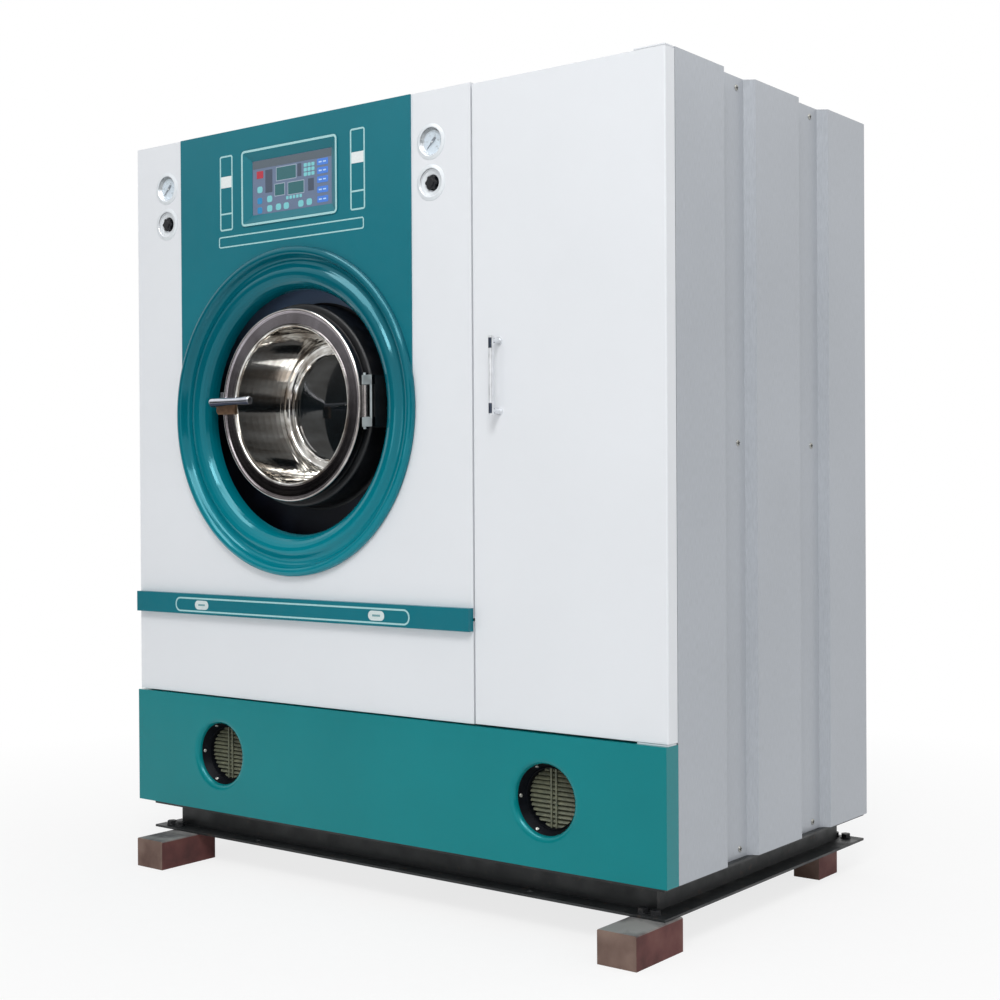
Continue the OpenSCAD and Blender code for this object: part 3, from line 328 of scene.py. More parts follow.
def ring_face_painted_light():
    """The door ring: a brushed face with painted light, darker towards its foot and lighter
    towards its top, between two bright edges that are partly polish and partly painted
    highlight.
    """
    f = Finish("ring_steel", srgb(120, 116, 116), 0.3, metal=1.0)
    around = f.round_place(PORT_X, DOOR_Z)
    radius = f.add("ShaderNodeSeparateXYZ")
    f.link(around, radius.inputs[0])
    zone = f.add("ShaderNodeMapRange")
    zone.inputs["From Min"].default_value = BOWL_R * MM
    zone.inputs["From Max"].default_value = DOOR_R * MM
    f.link(radius.outputs["Z"], zone.inputs["Value"])
    rings, polish_and_painted_reflection = turned_grain(f, around)
    foot = f.ramp(polish_and_painted_reflection, [(0.34, srgb(72, 68, 70)), (0.66, srgb(106, 100, 100))])
    head = f.ramp(polish_and_painted_reflection, [(0.34, srgb(156, 150, 154)), (0.66, srgb(200, 194, 200))])
    # Painted light: the face is darker towards its foot and lighter towards its top.
    height = f.axis("Z", at(0, 0, DOOR_Z - DOOR_R).z, at(0, 0, DOOR_Z + DOOR_R).z)
    face = f.blend(height, foot, head)
    # The two edge bands are painted brighter, partly as polish and partly as painted highlight.
    bright = f.ramp(polish_and_painted_reflection, [(0.34, srgb(150, 144, 142)), (0.66, srgb(206, 202, 200))])
    edge = f.ramp(zone.outputs["Result"], [(0.14, 1.0), (0.18, 0.0), (0.84, 0.0), (0.9, 1.0)])
    f.color(f.blend(edge, face, bright))
    f.rough(f.ramp(rings, [(0.3, 0.14), (0.7, 0.27)]))
    f.bump(rings, 0.00002)
    return f.mat


def slate(low, high, dark, pale):
    """Near-black enamel with painted light: it turns slate blue towards its upper edge, where
    light from above falls.
    """
    f = Finish("tub_slate", dark, 0.35)
    # Painted light: lighter and bluer towards the top, darker below.
    rise = f.axis("Z", at(0, 0, low).z, at(0, 0, high).z)
    cloud = f.math("MULTIPLY", f.noise(12, 3), 0.2)
    f.color(f.ramp(f.math("ADD", rise, cloud), [(0.1, dark), (1.0, pale)]))
    f.bump(f.noise(160, 3), 0.00002)
    return f.mat


def dusty(name, dark, pale, gloss=0.5):
    """Dull paint under a thin, uneven layer of dust."""
    f = Finish(name, dark, 0.5, Specular_IOR_Level=gloss)
    f.color(f.ramp(f.noise(120, 4), [(0.3, dark), (0.7, pale)]))
    f.bump(f.noise(700, 2), 0.00003)
    return f.mat


def pull_chrome():
    """Pale satin steel with a painted dark reflection at each end of the grip, left off the
    parts behind it and off faces that look towards +X.
    """
    low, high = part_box("service_door_handle")
    f = Finish("pull_chrome", srgb(222, 224, 228), 0.3, metal=0.5, edge=0)
    along = f.axis("Z", low[2], high[2])
    grain = f.noise(60, 3)
    bright = f.ramp(grain, [(0.3, srgb(212, 215, 218)), (0.7, srgb(234, 236, 240))])
    # Painted reflection: the dark ends of the grip stand for dark surroundings mirrored there.
    painted_dark_reflection = f.ramp(grain, [(0.3, srgb(40, 48, 62)), (0.7, srgb(62, 70, 86))])
    ends = f.ramp(along, [(0.02, 0.0), (0.03, 1.0), (0.15, 1.0), (0.16, 0.0),
                          (0.84, 0.0), (0.85, 1.0), (0.97, 1.0), (0.98, 0.0)])
    front = f.axis("Y", low[1] + 0.012, low[1] + 0.014)
    grip = f.math("MULTIPLY", f.math("SUBTRACT", 1.0, front),
                  f.math("LESS_THAN", f.facing("X"), 0.8))
    f.color(f.blend(f.math("MULTIPLY", ends, grip), bright, painted_dark_reflection))
    f.rough(f.ramp(grain, [(0.3, 0.28), (0.7, 0.36)]))
    return f.mat


def brushed(name, color, rough, scale, lines=0.00002):
    """Brushed metal; the scale is how fine its grain is along X, Y and Z."""
    f = Finish(name, color, rough, metal=1.0)
    grain = f.noise(1.0, 3, f.stretched(scale))
    f.color(f.ramp(grain, [(0.3, shade(color, 0.86)), (0.7, shade(color, 1.1))]))
    f.rough(f.ramp(grain, [(0.3, rough * 0.75), (0.7, rough * 1.35)]))
    f.bump(grain, lines)
    return f.mat


def shadowed_chrome(name, axis, bright, dark, ends, rough=0.16):
    """Chrome with painted shade and painted reflection: its tone goes by how far it faces along
    an axis of its piece.
    """
    f = Finish(name, bright, rough, metal=1.0)
    grain = f.noise(60, 3)
    # Painted shade and reflection: the colour turns to the dark tone by which way the surface
    # faces.
    side = f.ramp(f.math("ADD", f.math("MULTIPLY", f.facing(axis), 0.5), 0.5), ends)
    pale = f.ramp(grain, [(0.3, shade(bright, 0.9)), (0.7, bright)])
    painted_dark_side = f.ramp(grain, [(0.3, shade(dark, 0.8)), (0.7, shade(dark, 1.2))])
    f.color(f.blend(side, pale, painted_dark_side))
    f.rough(f.ramp(grain, [(0.3, rough * 0.94), (0.7, rough * 1.3)]))
    return f.mat


def moulded(name, color, rough):
    """Moulded plastic or rubber, with a fine grain."""
    f = Finish(name, color, rough)
    f.color(f.ramp(f.noise(30, 3), [(0.3, shade(color, 0.88)), (0.7, shade(color, 1.15))]))
    f.rough(f.ramp(f.noise(60, 3), [(0.3, rough * 0.85), (0.7, rough * 1.15)]))
    f.bump(f.noise(700, 2), 0.00003)
    return f.mat


def printed(name, color, rough=0.45):
    """Screen-printed ink, a little uneven."""
    f = Finish(name, color, rough)
    f.color(f.ramp(f.noise(220, 4), [(0.3, shade(color, 0.95)), (0.7, shade(color, 1.03))]))
    f.bump(f.noise(900, 2), 0.00001)
    return f.mat


def lit(name, color):
    """A lit field of the screen, with the fine grid of its dots."""
    f = Finish(name, color, 0.2, Coat_Weight=0.6, Coat_Roughness=0.03)
    dots = f.noise(1800, 1)
    tone = f.ramp(dots, [(0.35, shade(color, 0.88)), (0.65, shade(color, 1.06))])
    f.color(tone)
    f.link(tone, f.shader.inputs["Emission Color"])
    f.shader.inputs["Emission Strength"].default_value = SCREEN_GLOW
    return f.mat


def dark_glass_painted_shade():
    """Opaque near-black glass, a little uneven in its polish; its darkness is painted shade
    standing for the dark drum seen through it.
    """
    # Painted shade: the glass is opaque and near-black where the shaded drum would show through
    # it.
    f = Finish("dark_glass_painted_shade", srgb(16, 22, 24), 0.04, Coat_Weight=0.5, Coat_Roughness=0.02)
    f.color(f.ramp(f.noise(9, 3), [(0.3, srgb(8, 12, 14)), (0.7, srgb(18, 24, 27))]))
    f.rough(f.ramp(f.noise(14, 4), [(0.35, 0.03), (0.7, 0.12)]))
    return f.mat


def clear_glass():
    """Thin flat glass: see-through, with only its shine."""
    f = Finish("clear_glass", srgb(240, 248, 248), 0.03, edge=0, Alpha=0.12)
    f.rough(f.ramp(f.noise(80, 3), [(0.4, 0.02), (0.7, 0.06)]))
    return f.mat


TEAL = srgb(0, 110, 124)
SKIRT_TEAL = srgb(0, 120, 124)
WHITE = srgb(226, 229, 233)
CYAN_SHINE = (0.36, 0.88, 1.0, 1)
GREY = srgb(170, 175, 182)
BLACK = srgb(24, 28, 30)

teal = enamel("teal_enamel", TEAL, 0.3, gloss=0.35, tone=0.05)
teal_skirt = enamel("teal_skirt", SKIRT_TEAL, 0.2, 0.5, 0.06, CYAN_SHINE)
white = enamel("white_enamel", WHITE, 0.4, gloss=0.35, tone=0.012)
trim_white = enamel("trim_white", srgb(222, 227, 231), 0.3, tone=0.02)
side_paint = side_sheet_paint(GREY)
base_black = worn_black("base_black", BLACK, srgb(52, 42, 36))
inner_black = worn_black("inner_black", srgb(15, 17, 21), srgb(30, 27, 27))
# The tub front's pale top is painted light.
tub_dark = slate(DOOR_Z + 40, DOOR_Z + 240, srgb(11, 13, 25), srgb(92, 112, 142))
block_rust = rusty_block()
zinc = brushed("zinc_plate", srgb(176, 176, 170), 0.38, (60, 60, 60))
chrome = brushed("bright_chrome", srgb(222, 224, 228), 0.1, (50, 50, 50), 0.000005)
ring_steel = ring_face_painted_light()
bowl_steel = polished_round("bowl_steel", PORT_X, DOOR_Z, srgb(152, 143, 134),
                            srgb(202, 200, 196), srgb(240, 240, 238), 0.06)
bead_steel = polished_round("bead_steel", PORT_X, DOOR_Z, srgb(150, 146, 142),
                            srgb(200, 196, 194), srgb(240, 238, 236), 0.14)
tub_steel = brushed("tub_steel", srgb(150, 152, 154), 0.38, (30, 400, 30))
drum_steel = brushed("drum_steel", srgb(176, 178, 180), 0.38, (30, 30, 300))
bronze = brushed("bronze_casting", srgb(142, 116, 94), 0.4, (120, 120, 120), 0.0001)
# Painted reflection and shade: the lever darkens where it faces down.
lever_chrome = shadowed_chrome("lever_chrome", "Z", srgb(214, 217, 226), srgb(52, 56, 72),
                               [(0.3, 1.0), (0.5, 0.0)])
# Painted shade: the hinge darkens where it faces +X.
hinge_chrome = shadowed_chrome("hinge_chrome", "X", srgb(184, 194, 196), srgb(14, 18, 24),
                               [(0.7, 0.0), (0.95, 1.0)], 0.4)
# Painted shade: the gauge cones darken where they face down, under the rim.
gauge_chrome = shadowed_chrome("gauge_chrome", "Z", srgb(232, 234, 238), srgb(98, 103, 110),
                               [(0.15, 1.0), (0.5, 0.0)], 0.3)
brass = brushed("brass", srgb(188, 150, 84), 0.38, (90, 90, 90))
iron = brushed("machined_iron", srgb(88, 88, 90), 0.42, (200, 40, 200))
motor_blue = enamel("machine_blue", srgb(62, 90, 128), 0.4, tone=0.08)
rubber = moulded("rubber", srgb(20, 20, 21), 0.7)
knob_black = moulded("knob_black", srgb(16, 18, 24), 0.34)
needle_black = printed("needle_black", srgb(50, 66, 92), 0.5)
ink = printed("pale_ink", srgb(164, 208, 210))
ink_white = printed("white_ink", srgb(226, 232, 232))
dial_white = printed("dial_white", srgb(212, 224, 236), 0.5)
vent_black = dusty("vent_black", srgb(3, 5, 10), srgb(10, 13, 20), 0.12)
vent_slats = dusty("vent_slats", srgb(82, 86, 74), srgb(114, 116, 94))
dial_ink = printed("dial_ink", srgb(30, 36, 44), 0.5)
glass = dark_glass_painted_shade()
lens = clear_glass()

FINISHES = {
    "base_black": base_black, "grille_black": base_black, "block_rust": block_rust,
    "zinc_steel": zinc, "teal_paint": teal, "white_paint": white, "grey_paint": side_paint,
    "screen_glass": lit("screen_ground", srgb(100, 116, 142)), "gauge_chrome": chrome,
    "clear_glass": lens, "needle_black": needle_black, "knob_plastic": knob_black,
    "handle_chrome": chrome, "pipe_brass": brass, "tub_steel": tub_steel,
    "tub_dark": tub_dark, "seal_rubber": rubber, "door_steel": ring_steel,
    "door_glass": glass, "bracket_bronze": bronze, "drum_steel": drum_steel,
    "pulley_iron": iron, "motor_blue": motor_blue,
}
OWN_FINISH = {
    "door_bowl": bowl_steel, "glass_clamp": bead_steel, "door_frame": inner_black,
    "latch_keeper": inner_black, "cabinet_frame": inner_black,
    # The surround's two colours are painted light, brighter at its foot and deeper at its top.
    "port_surround": port_enamel_painted_light(srgb(0, 124, 138), srgb(0, 90, 104)), "skirt_panel": teal_skirt,
    "base_bolts": inner_black, "service_door_handle": pull_chrome(),
    "hinge_yoke": hinge_chrome, "hinge_pin": hinge_chrome, "door_lever": lever_chrome,
    "service_door_pivots": white,
}


def slot_of(name):
    """The material slot that the record gives a node."""
    return next(s["material_slot"] for s in frame["record"]["subparts"] if s["node"] == name)


def dress(name, obj):
    """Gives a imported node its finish."""
    material = OWN_FINISH.get(name, FINISHES[slot_of(name)])
    if not obj.material_slots:
        obj.data.materials.append(material)
    for s in obj.material_slots:
        s.material = material


# ---------------------------------------------------------------- mesh helpers

SHARP = math.radians(35)


def make(name, bm, material, body="cabinet", smooth=False):
    """A piece of the scene from a finished mesh, which rides on one body."""
    mesh = bpy.data.meshes.new(name)
    bmesh.ops.recalc_face_normals(bm, faces=bm.faces)
    bm.to_mesh(mesh)
    bm.free()
    mesh.materials.append(material)
    for polygon in mesh.polygons:
        polygon.use_smooth = smooth
    if smooth:
        mesh.set_sharp_from_angle(angle=SHARP)
    obj = bpy.data.objects.new(name, mesh)
    bpy.context.scene.collection.objects.link(obj)
    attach(obj, body)
    return obj


def rounded(x0, z0, x1, z1, r, steps=6):
    """Points of a rounded rectangle, in millimetres."""
    points = []
    for cx, cz, start in ((x1 - r, z1 - r, 0), (x0 + r, z1 - r, 90),
                          (x0 + r, z0 + r, 180), (x1 - r, z0 + r, 270)):
        for i in range(steps + 1):
            a = math.radians(start + 90 * i / steps)
            points.append((cx + r * math.cos(a), cz + r * math.sin(a)))
    return points


def film(bm, rim, y, thick, hole=None):
    """A thin plate in front of y, or a ring where a hole outline is given."""
    def row(points, depth):
        return [bm.verts.new(at(x, depth, z)) for x, z in points]
    front, back = row(rim, y - thick), row(rim, y)
    count = len(rim)
    if hole:
        front_in, back_in = row(hole, y - thick), row(hole, y)
    for i in range(count):
        j = (i + 1) % count
        bm.faces.new((front[i], front[j], back[j], back[i]))
        if hole:
            bm.faces.new((front_in[i], front_in[j], front[j], front[i]))
            bm.faces.new((back_in[i], back_in[j], front_in[j], front_in[i]))
    if not hole:
        bm.faces.new(front)


def revolve(bm, profile, x, z, steps=72):
    """A closed run of (radius, y) turned round an axis along Y."""
    rows = []
    for r, y in profile:
        if r:
            rows.append([bm.verts.new(at(x + r * math.cos(math.tau * i / steps), y,
                                         z + r * math.sin(math.tau * i / steps)))
                         for i in range(steps)])
        else:
            rows.append([bm.verts.new(at(x, y, z))] * steps)
    for first, second in zip(rows, rows[1:] + rows[:1]):
        for i in range(steps):
            j = (i + 1) % steps
            corners = dict.fromkeys((first[i], first[j], second[j], second[i]))
            if len(corners) > 2:
                bm.faces.new(corners)


def bridge(bm, first, second):
    """A solid between two outlines with as many points."""
    near, far = ([bm.verts.new(at(*point)) for point in points] for points in (first, second))
    for i in range(len(near)):
        j = (i + 1) % len(near)
        bm.faces.new((near[i], near[j], far[j], far[i]))
    bm.faces.new(near)
    bm.faces.new(far)


def set_back(name, body, axis, by, wider):
    """A copy of a node's shape that sits deeper, scaled round its axis."""
    source = nodes[name]
    mesh = source.data.copy()
    centre = at(axis[0], 0, axis[1])
    for vertex in mesh.vertices:
        vertex.co.x = centre.x + (vertex.co.x - centre.x) * wider
        vertex.co.z = centre.z + (vertex.co.z - centre.z) * wider
        vertex.co.y += by * MM
    piece = bpy.data.objects.new(name + "_set_back", mesh)
    bpy.context.scene.collection.objects.link(piece)
    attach(piece, body)
    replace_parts(piece, name)


# ---------------------------------------------------------------- skirt vents

VENT_DEEP = 52
VENT_HOLE = 71
VENT_R = 60
VENT_LIP = 82
CONE_END = 30
SLATS = 13
SLAT_W = 11
SLAT_T = 1.5
SLAT_BOW = 1.3
SLAT_TILT = math.radians(35)
SLAT_Y = VENT_DEEP - 9
VENT_BAR_X = 6
VENT_BAR_HALF = 1.8
VENT_BAR_Y = (VENT_DEEP - 17, VENT_DEEP - 13)
END_IN = 0.7


def louvre(bm, x, y, z, half):
    """A slat with a slightly bowed section, whose front edge hangs lower."""
    turn = Matrix.Rotation(SLAT_TILT, 2)
    section = []
    for side in (1, -1):
        for i in range(5):
            t = (i / 4 - 0.5) * side
            rise = SLAT_BOW * (1 - 4 * t * t) + side * SLAT_T / 2
            section.append(turn @ Vector((t * SLAT_W, rise)))
    bridge(bm, *([(x + end, y + p.x, z + p.y) for p in section] for end in (-half, half)))


def vent(name, x):
    """A black cone that leads to a tube, with bowed slats behind two bars at its end."""
    bm = bmesh.new()
    revolve(bm, [(VENT_LIP, 12), (VENT_HOLE, 12.2), (62.4, CONE_END), (61.7, CONE_END - 1.6),
                 (60.4, CONE_END - 1.6), (VENT_R, CONE_END), (VENT_R, VENT_DEEP),
                 (61.5, VENT_DEEP), (64, CONE_END), (VENT_HOLE + 2, 16), (VENT_LIP, 16)],
            x, VENT_Z)
    tube = make(name + "_tube", bm, vent_black, smooth=True)
    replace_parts(tube, name)
    bm = bmesh.new()
    step = 2 * VENT_R / SLATS
    for i in range(SLATS):
        z = (i - (SLATS - 1) / 2) * step
        louvre(bm, x, SLAT_Y, VENT_Z + z, math.sqrt(VENT_R ** 2 - z ** 2) + END_IN)
    for side in (-VENT_BAR_X, VENT_BAR_X):
        high = math.sqrt(VENT_R ** 2 - side ** 2) + END_IN
        bar = rounded(x + side - VENT_BAR_HALF, VENT_BAR_Y[0],
                      x + side + VENT_BAR_HALF, VENT_BAR_Y[1], 0.8, 3)
        bridge(bm, *([(px, py, VENT_Z + end) for px, py in bar] for end in (-high, high)))
    slats = make(name + "_slats", bm, vent_slats, smooth=True)
    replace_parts(slats, name)


# ---------------------------------------------------------------- printed details

LINE = 3.8
PRINT_T = 0.15

# The left, lower, right and upper edges of each outline.
LEFT_LABEL = (296.5, 1347, 339, 1520)
RIGHT_LABEL = (707, 1350, 750, 1526)
TITLE = (292, 1308, 746, 1334)
PILL = (146, 463, 879, 497)
DISPLAY = (PORT_X - 149.5, 1350, PORT_X + 149.5, 1522)

LEFT_BLOCK = (1446, 1472)
LEFT_CROSS = 1384
RIGHT_BLOCK = (1451, 1475)
RIGHT_CROSS = 1389
OVALS = {"left_oval": (214, 260), "right_oval": (762, 808)}
OVAL_Z = (469.5, 490.5)
DASHES = 5
DASH_IN = 14
DASH_Z = (478, 482.5)
DASH_HALF = 2.2


def outline(bm, x0, z0, x1, z1, r, y=FASCIA_Y, line=LINE):
    """A thin printed line round a rounded rectangle."""
    film(bm, rounded(x0, z0, x1, z1, r), y, PRINT_T,
         rounded(x0 + line, z0 + line, x1 - line, z1 - line, max(0.5, r - line)))


def label_strip(name, place, block, bar):
    """An upright outlined label with a filled field and one cross line."""
    x0, z0, x1, z1 = place
    bm = bmesh.new()
    outline(bm, x0, z0, x1, z1, 6)
    film(bm, rounded(x0 + LINE, bar, x1 - LINE, bar + LINE, 0.4), FASCIA_Y, PRINT_T)
    make(name, bm, ink)
    bm = bmesh.new()
    film(bm, rounded(x0 + LINE, block[0], x1 - LINE, block[1], 1), FASCIA_Y, PRINT_T)
    make(name + "_field", bm, ink_white)


def fascia_print():
    """The outlined fields of the fascia, left bare."""
    label_strip("left_label", LEFT_LABEL, LEFT_BLOCK, LEFT_CROSS)
    label_strip("right_label", RIGHT_LABEL, RIGHT_BLOCK, RIGHT_CROSS)
    bm = bmesh.new()
    outline(bm, *TITLE, 6, line=3)
    make("title_outline", bm, ink)


def bar_print():
    """The bar's pill-shaped outline and its two pale ovals, each with a row of dashes."""
    bm = bmesh.new()
    outline(bm, *PILL, 16, BAR_Y)
    make("bar_outline", bm, ink)
    for name, (x0, x1) in OVALS.items():
        bm = bmesh.new()
        film(bm, rounded(x0, OVAL_Z[0], x1, OVAL_Z[1], 10.4), BAR_Y, PRINT_T)
        make(name, bm, printed(name, srgb(206, 218, 218)))
        bm = bmesh.new()
        for i in range(DASHES):
            x = x0 + DASH_IN + (x1 - x0 - 2 * DASH_IN) * i / (DASHES - 1)
            film(bm, rounded(x - DASH_HALF, DASH_Z[0], x + DASH_HALF, DASH_Z[1], 1),
                 BAR_Y - PRINT_T, PRINT_T)
        make(name + "_dashes", bm, printed(name + "_dashes", srgb(112, 158, 164)))


def display_rim():
    """The pale printed line on the display's raised rim."""
    bm = bmesh.new()
    outline(bm, *DISPLAY, 10, FASCIA_Y - 2, 5)
    make("display_outline", bm, ink)


# ---------------------------------------------------------------- screen

SCREEN_X0, SCREEN_X1 = PORT_X - 124.5, PORT_X + 124.5
SCREEN_Z0, SCREEN_Z1 = 1374.5, 1497.5
SCREEN_Y = 14.0

# Places on the screen, in fractions of its width and height from the top left.
HEADER = (0.005, 0.01, 0.995, 0.15)
STOP_KEY = (0.055, 0.2, 0.14, 0.335)
DARK_FIELDS = ((0.167, 0.198, 0.257, 0.617), (0.708, 0.486, 0.778, 0.706),
               (0.576, 0.183, 0.625, 0.414))
VALUE_FIELDS = ((0.312, 0.192, 0.556, 0.424), (0.29, 0.493, 0.41, 0.697),
                (0.458, 0.5, 0.653, 0.713))
ROUND_KEYS = ((0.0625, 0.483), (0.1875, 0.678), (0.1875, 0.853), (0.3, 0.848),
              (0.4, 0.85), (0.583, 0.852), (0.6875, 0.845))
WIDE_KEYS = (0.165, 0.32, 0.48, 0.66, 0.833)
SIDE_KEYS = (0.69, 0.865)


def on_screen(u0, v0, u1, v1):
    """The left, lower, right and upper edges of a field of the screen, in millimetres."""
    width, height = SCREEN_X1 - SCREEN_X0, SCREEN_Z1 - SCREEN_Z0
    return (SCREEN_X0 + u0 * width, SCREEN_Z1 - v1 * height,
            SCREEN_X0 + u1 * width, SCREEN_Z1 - v0 * height)


def field(bm, u0, v0, u1, v1, r=1.0, thick=0.25):
    """A raised field of the screen."""
    film(bm, rounded(*on_screen(u0, v0, u1, v1), r, 4), SCREEN_Y, thick)


def field_frame(bm, place):
    """A pale line round a field of the screen."""
    line = 1.8
    x0, z0, x1, z1 = on_screen(*place)
    film(bm, rounded(x0 - line, z0 - line, x1 + line, z1 + line, 1.5, 4), SCREEN_Y, 0.2,
         rounded(x0, z0, x1, z1, 1, 4))


def screen_keys():
    """The small square keys, the round keys and a row of five below the value fields."""
    keys = bmesh.new()
    for i in range(3):
        for k in range(3):
            u, v = 0.655 + i * 0.047, 0.2 + k * 0.083
            field(keys, u, v, u + 0.038, v + 0.066, 2)
    for u, v in ROUND_KEYS:
        field(keys, u, v, u + 0.066, v + 0.118, 5)
    for i in range(5):
        field(keys, 0.432 + i * 0.042, 0.738, 0.462 + i * 0.042, 0.797, 1.5)
    make("screen_keys", keys, lit("screen_cyan", srgb(120, 196, 202)))


def wide_keys():
    """The blue keys down the right side, each with two dashes."""
    blue = bmesh.new()
    for v in WIDE_KEYS:
        field(blue, 0.82, v, 0.953, v + 0.115, 2)
    make("screen_buttons", blue, lit("screen_blue", srgb(70, 124, 212)))
    dashes = bmesh.new()
    for v in WIDE_KEYS:
        for k in range(2):
            field(dashes, 0.84 + 0.052 * k, v + 0.045, 0.876 + 0.052 * k, v + 0.07, 0.6, 0.4)
    make("screen_dashes", dashes, lit("screen_pale", srgb(176, 208, 240)))


def screen_fields():
    """Generic buttons and value fields of a touch screen."""
    head = bmesh.new()
    field(head, *HEADER, 0.5)
    make("screen_header", head, lit("screen_header", srgb(84, 96, 106)))
    red = bmesh.new()
    field(red, *STOP_KEY, 2)
    make("screen_stop", red, lit("screen_red", srgb(176, 44, 62)))
    dark = bmesh.new()
    for place in DARK_FIELDS:
        field(dark, *place)
    make("screen_dark", dark, lit("screen_dark", srgb(66, 78, 96)))
    values, frames = bmesh.new(), bmesh.new()
    for place in VALUE_FIELDS:
        field(values, *place)
        field_frame(frames, place)
    make("screen_frames", frames, lit("screen_frames", srgb(150, 166, 184)))
    make("screen_values", values, lit("screen_values", srgb(46, 100, 106)))
    screen_keys()
    wide_keys()
    marks = bmesh.new()
    for v in SIDE_KEYS:
        field(marks, 0.0625, v, 0.125, v + 0.116, 4)
    make("screen_marks", marks, lit("screen_sky", srgb(36, 132, 186)))


# ---------------------------------------------------------------- gauges

DIAL_Y = 14.2
DIAL_R = 24.2
CASE_R = 28
CASE_END = 43
NUT_END = 50
STUB_END = 66
CUP_Y = 25
KNOB_BACK = 17
KNOB_SCALE = 0.9
SWEEP = 270
DIAL_START = 45
TICKS = 50
TICKS_LONG = 10
NUMBERS = 6

# Outlines turned round an axis, as pairs of radius and depth.
RIM = (29.2, 6.4)
FLANGE = [RIM, (30.0, 5.3), (31.0, 5.0), (31.8, 5.5), (36.6, 6.6), (37.5, 7.3),
          (37.5, FACE_Y), (29.4, FACE_Y)]
CUP_FACE = [(16.9, 13.6), (18, 12.2), (26.4, 10.8), (27.9, 9.6), (27.9, 13.9), (16.9, 13.9)]


def gauge_case(bm, x):
    """A case sunk in the panel: cone, round back, nut, threaded stub and needle boss."""
    revolve(bm, [(0, DIAL_Y), (DIAL_R + 0.4, DIAL_Y), RIM, (29.6, FACE_Y),
                 (CASE_R, FACE_Y), (CASE_R, CASE_END), (0, CASE_END)], x, GAUGE_Z)
    revolve(bm, [(0, CASE_END), (11, CASE_END), (11, NUT_END), (0, NUT_END)], x, GAUGE_Z, 6)
    thread = [(6.5 if i % 2 else 5.8, NUT_END + i) for i in range(STUB_END - NUT_END + 1)]
    revolve(bm, [(0, NUT_END)] + thread + [(0, STUB_END)], x, GAUGE_Z, 24)
    revolve(bm, [(0, 11), (1.9, 11.3), (2.3, 12), (1.2, 12.2), (1.2, DIAL_Y), (0, DIAL_Y)],
            x, GAUGE_Z, 24)


def regulator_case(bm, x):
    """A cup sunk in the panel round the knob, with its spindle and valve body."""
    revolve(bm, [(0, 16), (4, 16), (4, CUP_Y), (16.8, CUP_Y), (16.8, 14), (27.6, 11.6), RIM,
                 (29.6, FACE_Y), (28.4, 14), (27, 14), (27, 38), (14, 38), (14, 58), (0, 58)],
            x, REGULATOR_Z)


def needle(side, x):
    """A tapered needle with a broad tail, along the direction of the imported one."""
    axis = at(x, 0, GAUGE_Z)
    flat = [Vector((v.co.x - axis.x, v.co.z - axis.z))
            for v in nodes[side + "_gauge_needle"].data.vertices]
    tip = max(flat, key=lambda p: p.length).normalized()
    shape = [(20, 0.3), (4, 1.3), (-1, 2.9), (-11, 2.9), (-12.5, 1.6)]
    shape += [(u, -v) for u, v in reversed(shape)]
    bm = bmesh.new()
    bridge(bm, *([(x + tip.x * u - tip.y * v, y, GAUGE_Z + tip.y * u + tip.x * v)
                  for u, v in shape] for y in (DIAL_Y - 2.6, DIAL_Y - 1.6)))
    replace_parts(make(side + "_needle_blade", bm, needle_black, side + "_needle"),
                side + "_gauge_needle")


def sunk_cases():
    """Gauges and regulators lie nearly flush in the panel, as in the photograph."""
    for name, builder in (("gauge_cases", gauge_case), ("regulator_bezels", regulator_case)):
        bm = bmesh.new()
        for x in GAUGE_X:
            builder(bm, x)
        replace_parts(make("sunk_" + name, bm, gauge_chrome, smooth=True), name)
    bm = bmesh.new()
    for x in GAUGE_X:
        revolve(bm, FLANGE, x, GAUGE_Z)
        revolve(bm, FLANGE, x, REGULATOR_Z)
        revolve(bm, CUP_FACE, x, REGULATOR_Z)
    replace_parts(make("flanges", bm, trim_white, smooth=True), "gauge_cases")
    bm = bmesh.new()
    for x in GAUGE_X:
        revolve(bm, [(0, 7), (28.6, 7), (28.6, 8.2), (0, 8.2)], x, GAUGE_Z)
    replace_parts(make("sunk_lenses", bm, lens), "gauge_lenses")
    for side, x in zip(("left", "right"), GAUGE_X):
        needle(side, x)
        set_back(side + "_regulator_knob", side + "_knob", (x, REGULATOR_Z), KNOB_BACK,
                 KNOB_SCALE)


def disc(bm, cx, cz, r, y, thick):
    """A thin round plate."""
    steps = 48
    film(bm, [(cx + r * math.cos(math.tau * i / steps), cz + r * math.sin(math.tau * i / steps))
              for i in range(steps)], y, thick)


def tick(bm, cx, cz, angle, r0, r1, width):
    """A radial mark; the angle is clockwise from straight down, in degrees."""
    a = math.radians(-90 - angle)
    along = (math.cos(a), math.sin(a))
    across = (-along[1] * width / 2, along[0] * width / 2)
    film(bm, [(cx + along[0] * r + across[0] * s, cz + along[1] * r + across[1] * s)
              for r, s in ((r0, -1), (r1, -1), (r1, 1), (r0, 1))], DIAL_Y - 0.2, 0.1)


def numeral(text, x, z, size, name):
    """A plain number on a dial."""
    curve = bpy.data.curves.new(name, "FONT")
    curve.body = text
    curve.size = size * MM
    curve.align_x = "CENTER"
    curve.align_y = "CENTER"
    curve.extrude = 0.00003
    obj = bpy.data.objects.new(name, curve)
    bpy.context.scene.collection.objects.link(obj)
    upright = Matrix.Rotation(math.radians(90), 4, "X")
    obj.matrix_world = Matrix.Translation(at(x, DIAL_Y - 0.24, z)) @ upright
    curve.materials.append(dial_ink)
    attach(obj, "cabinet")


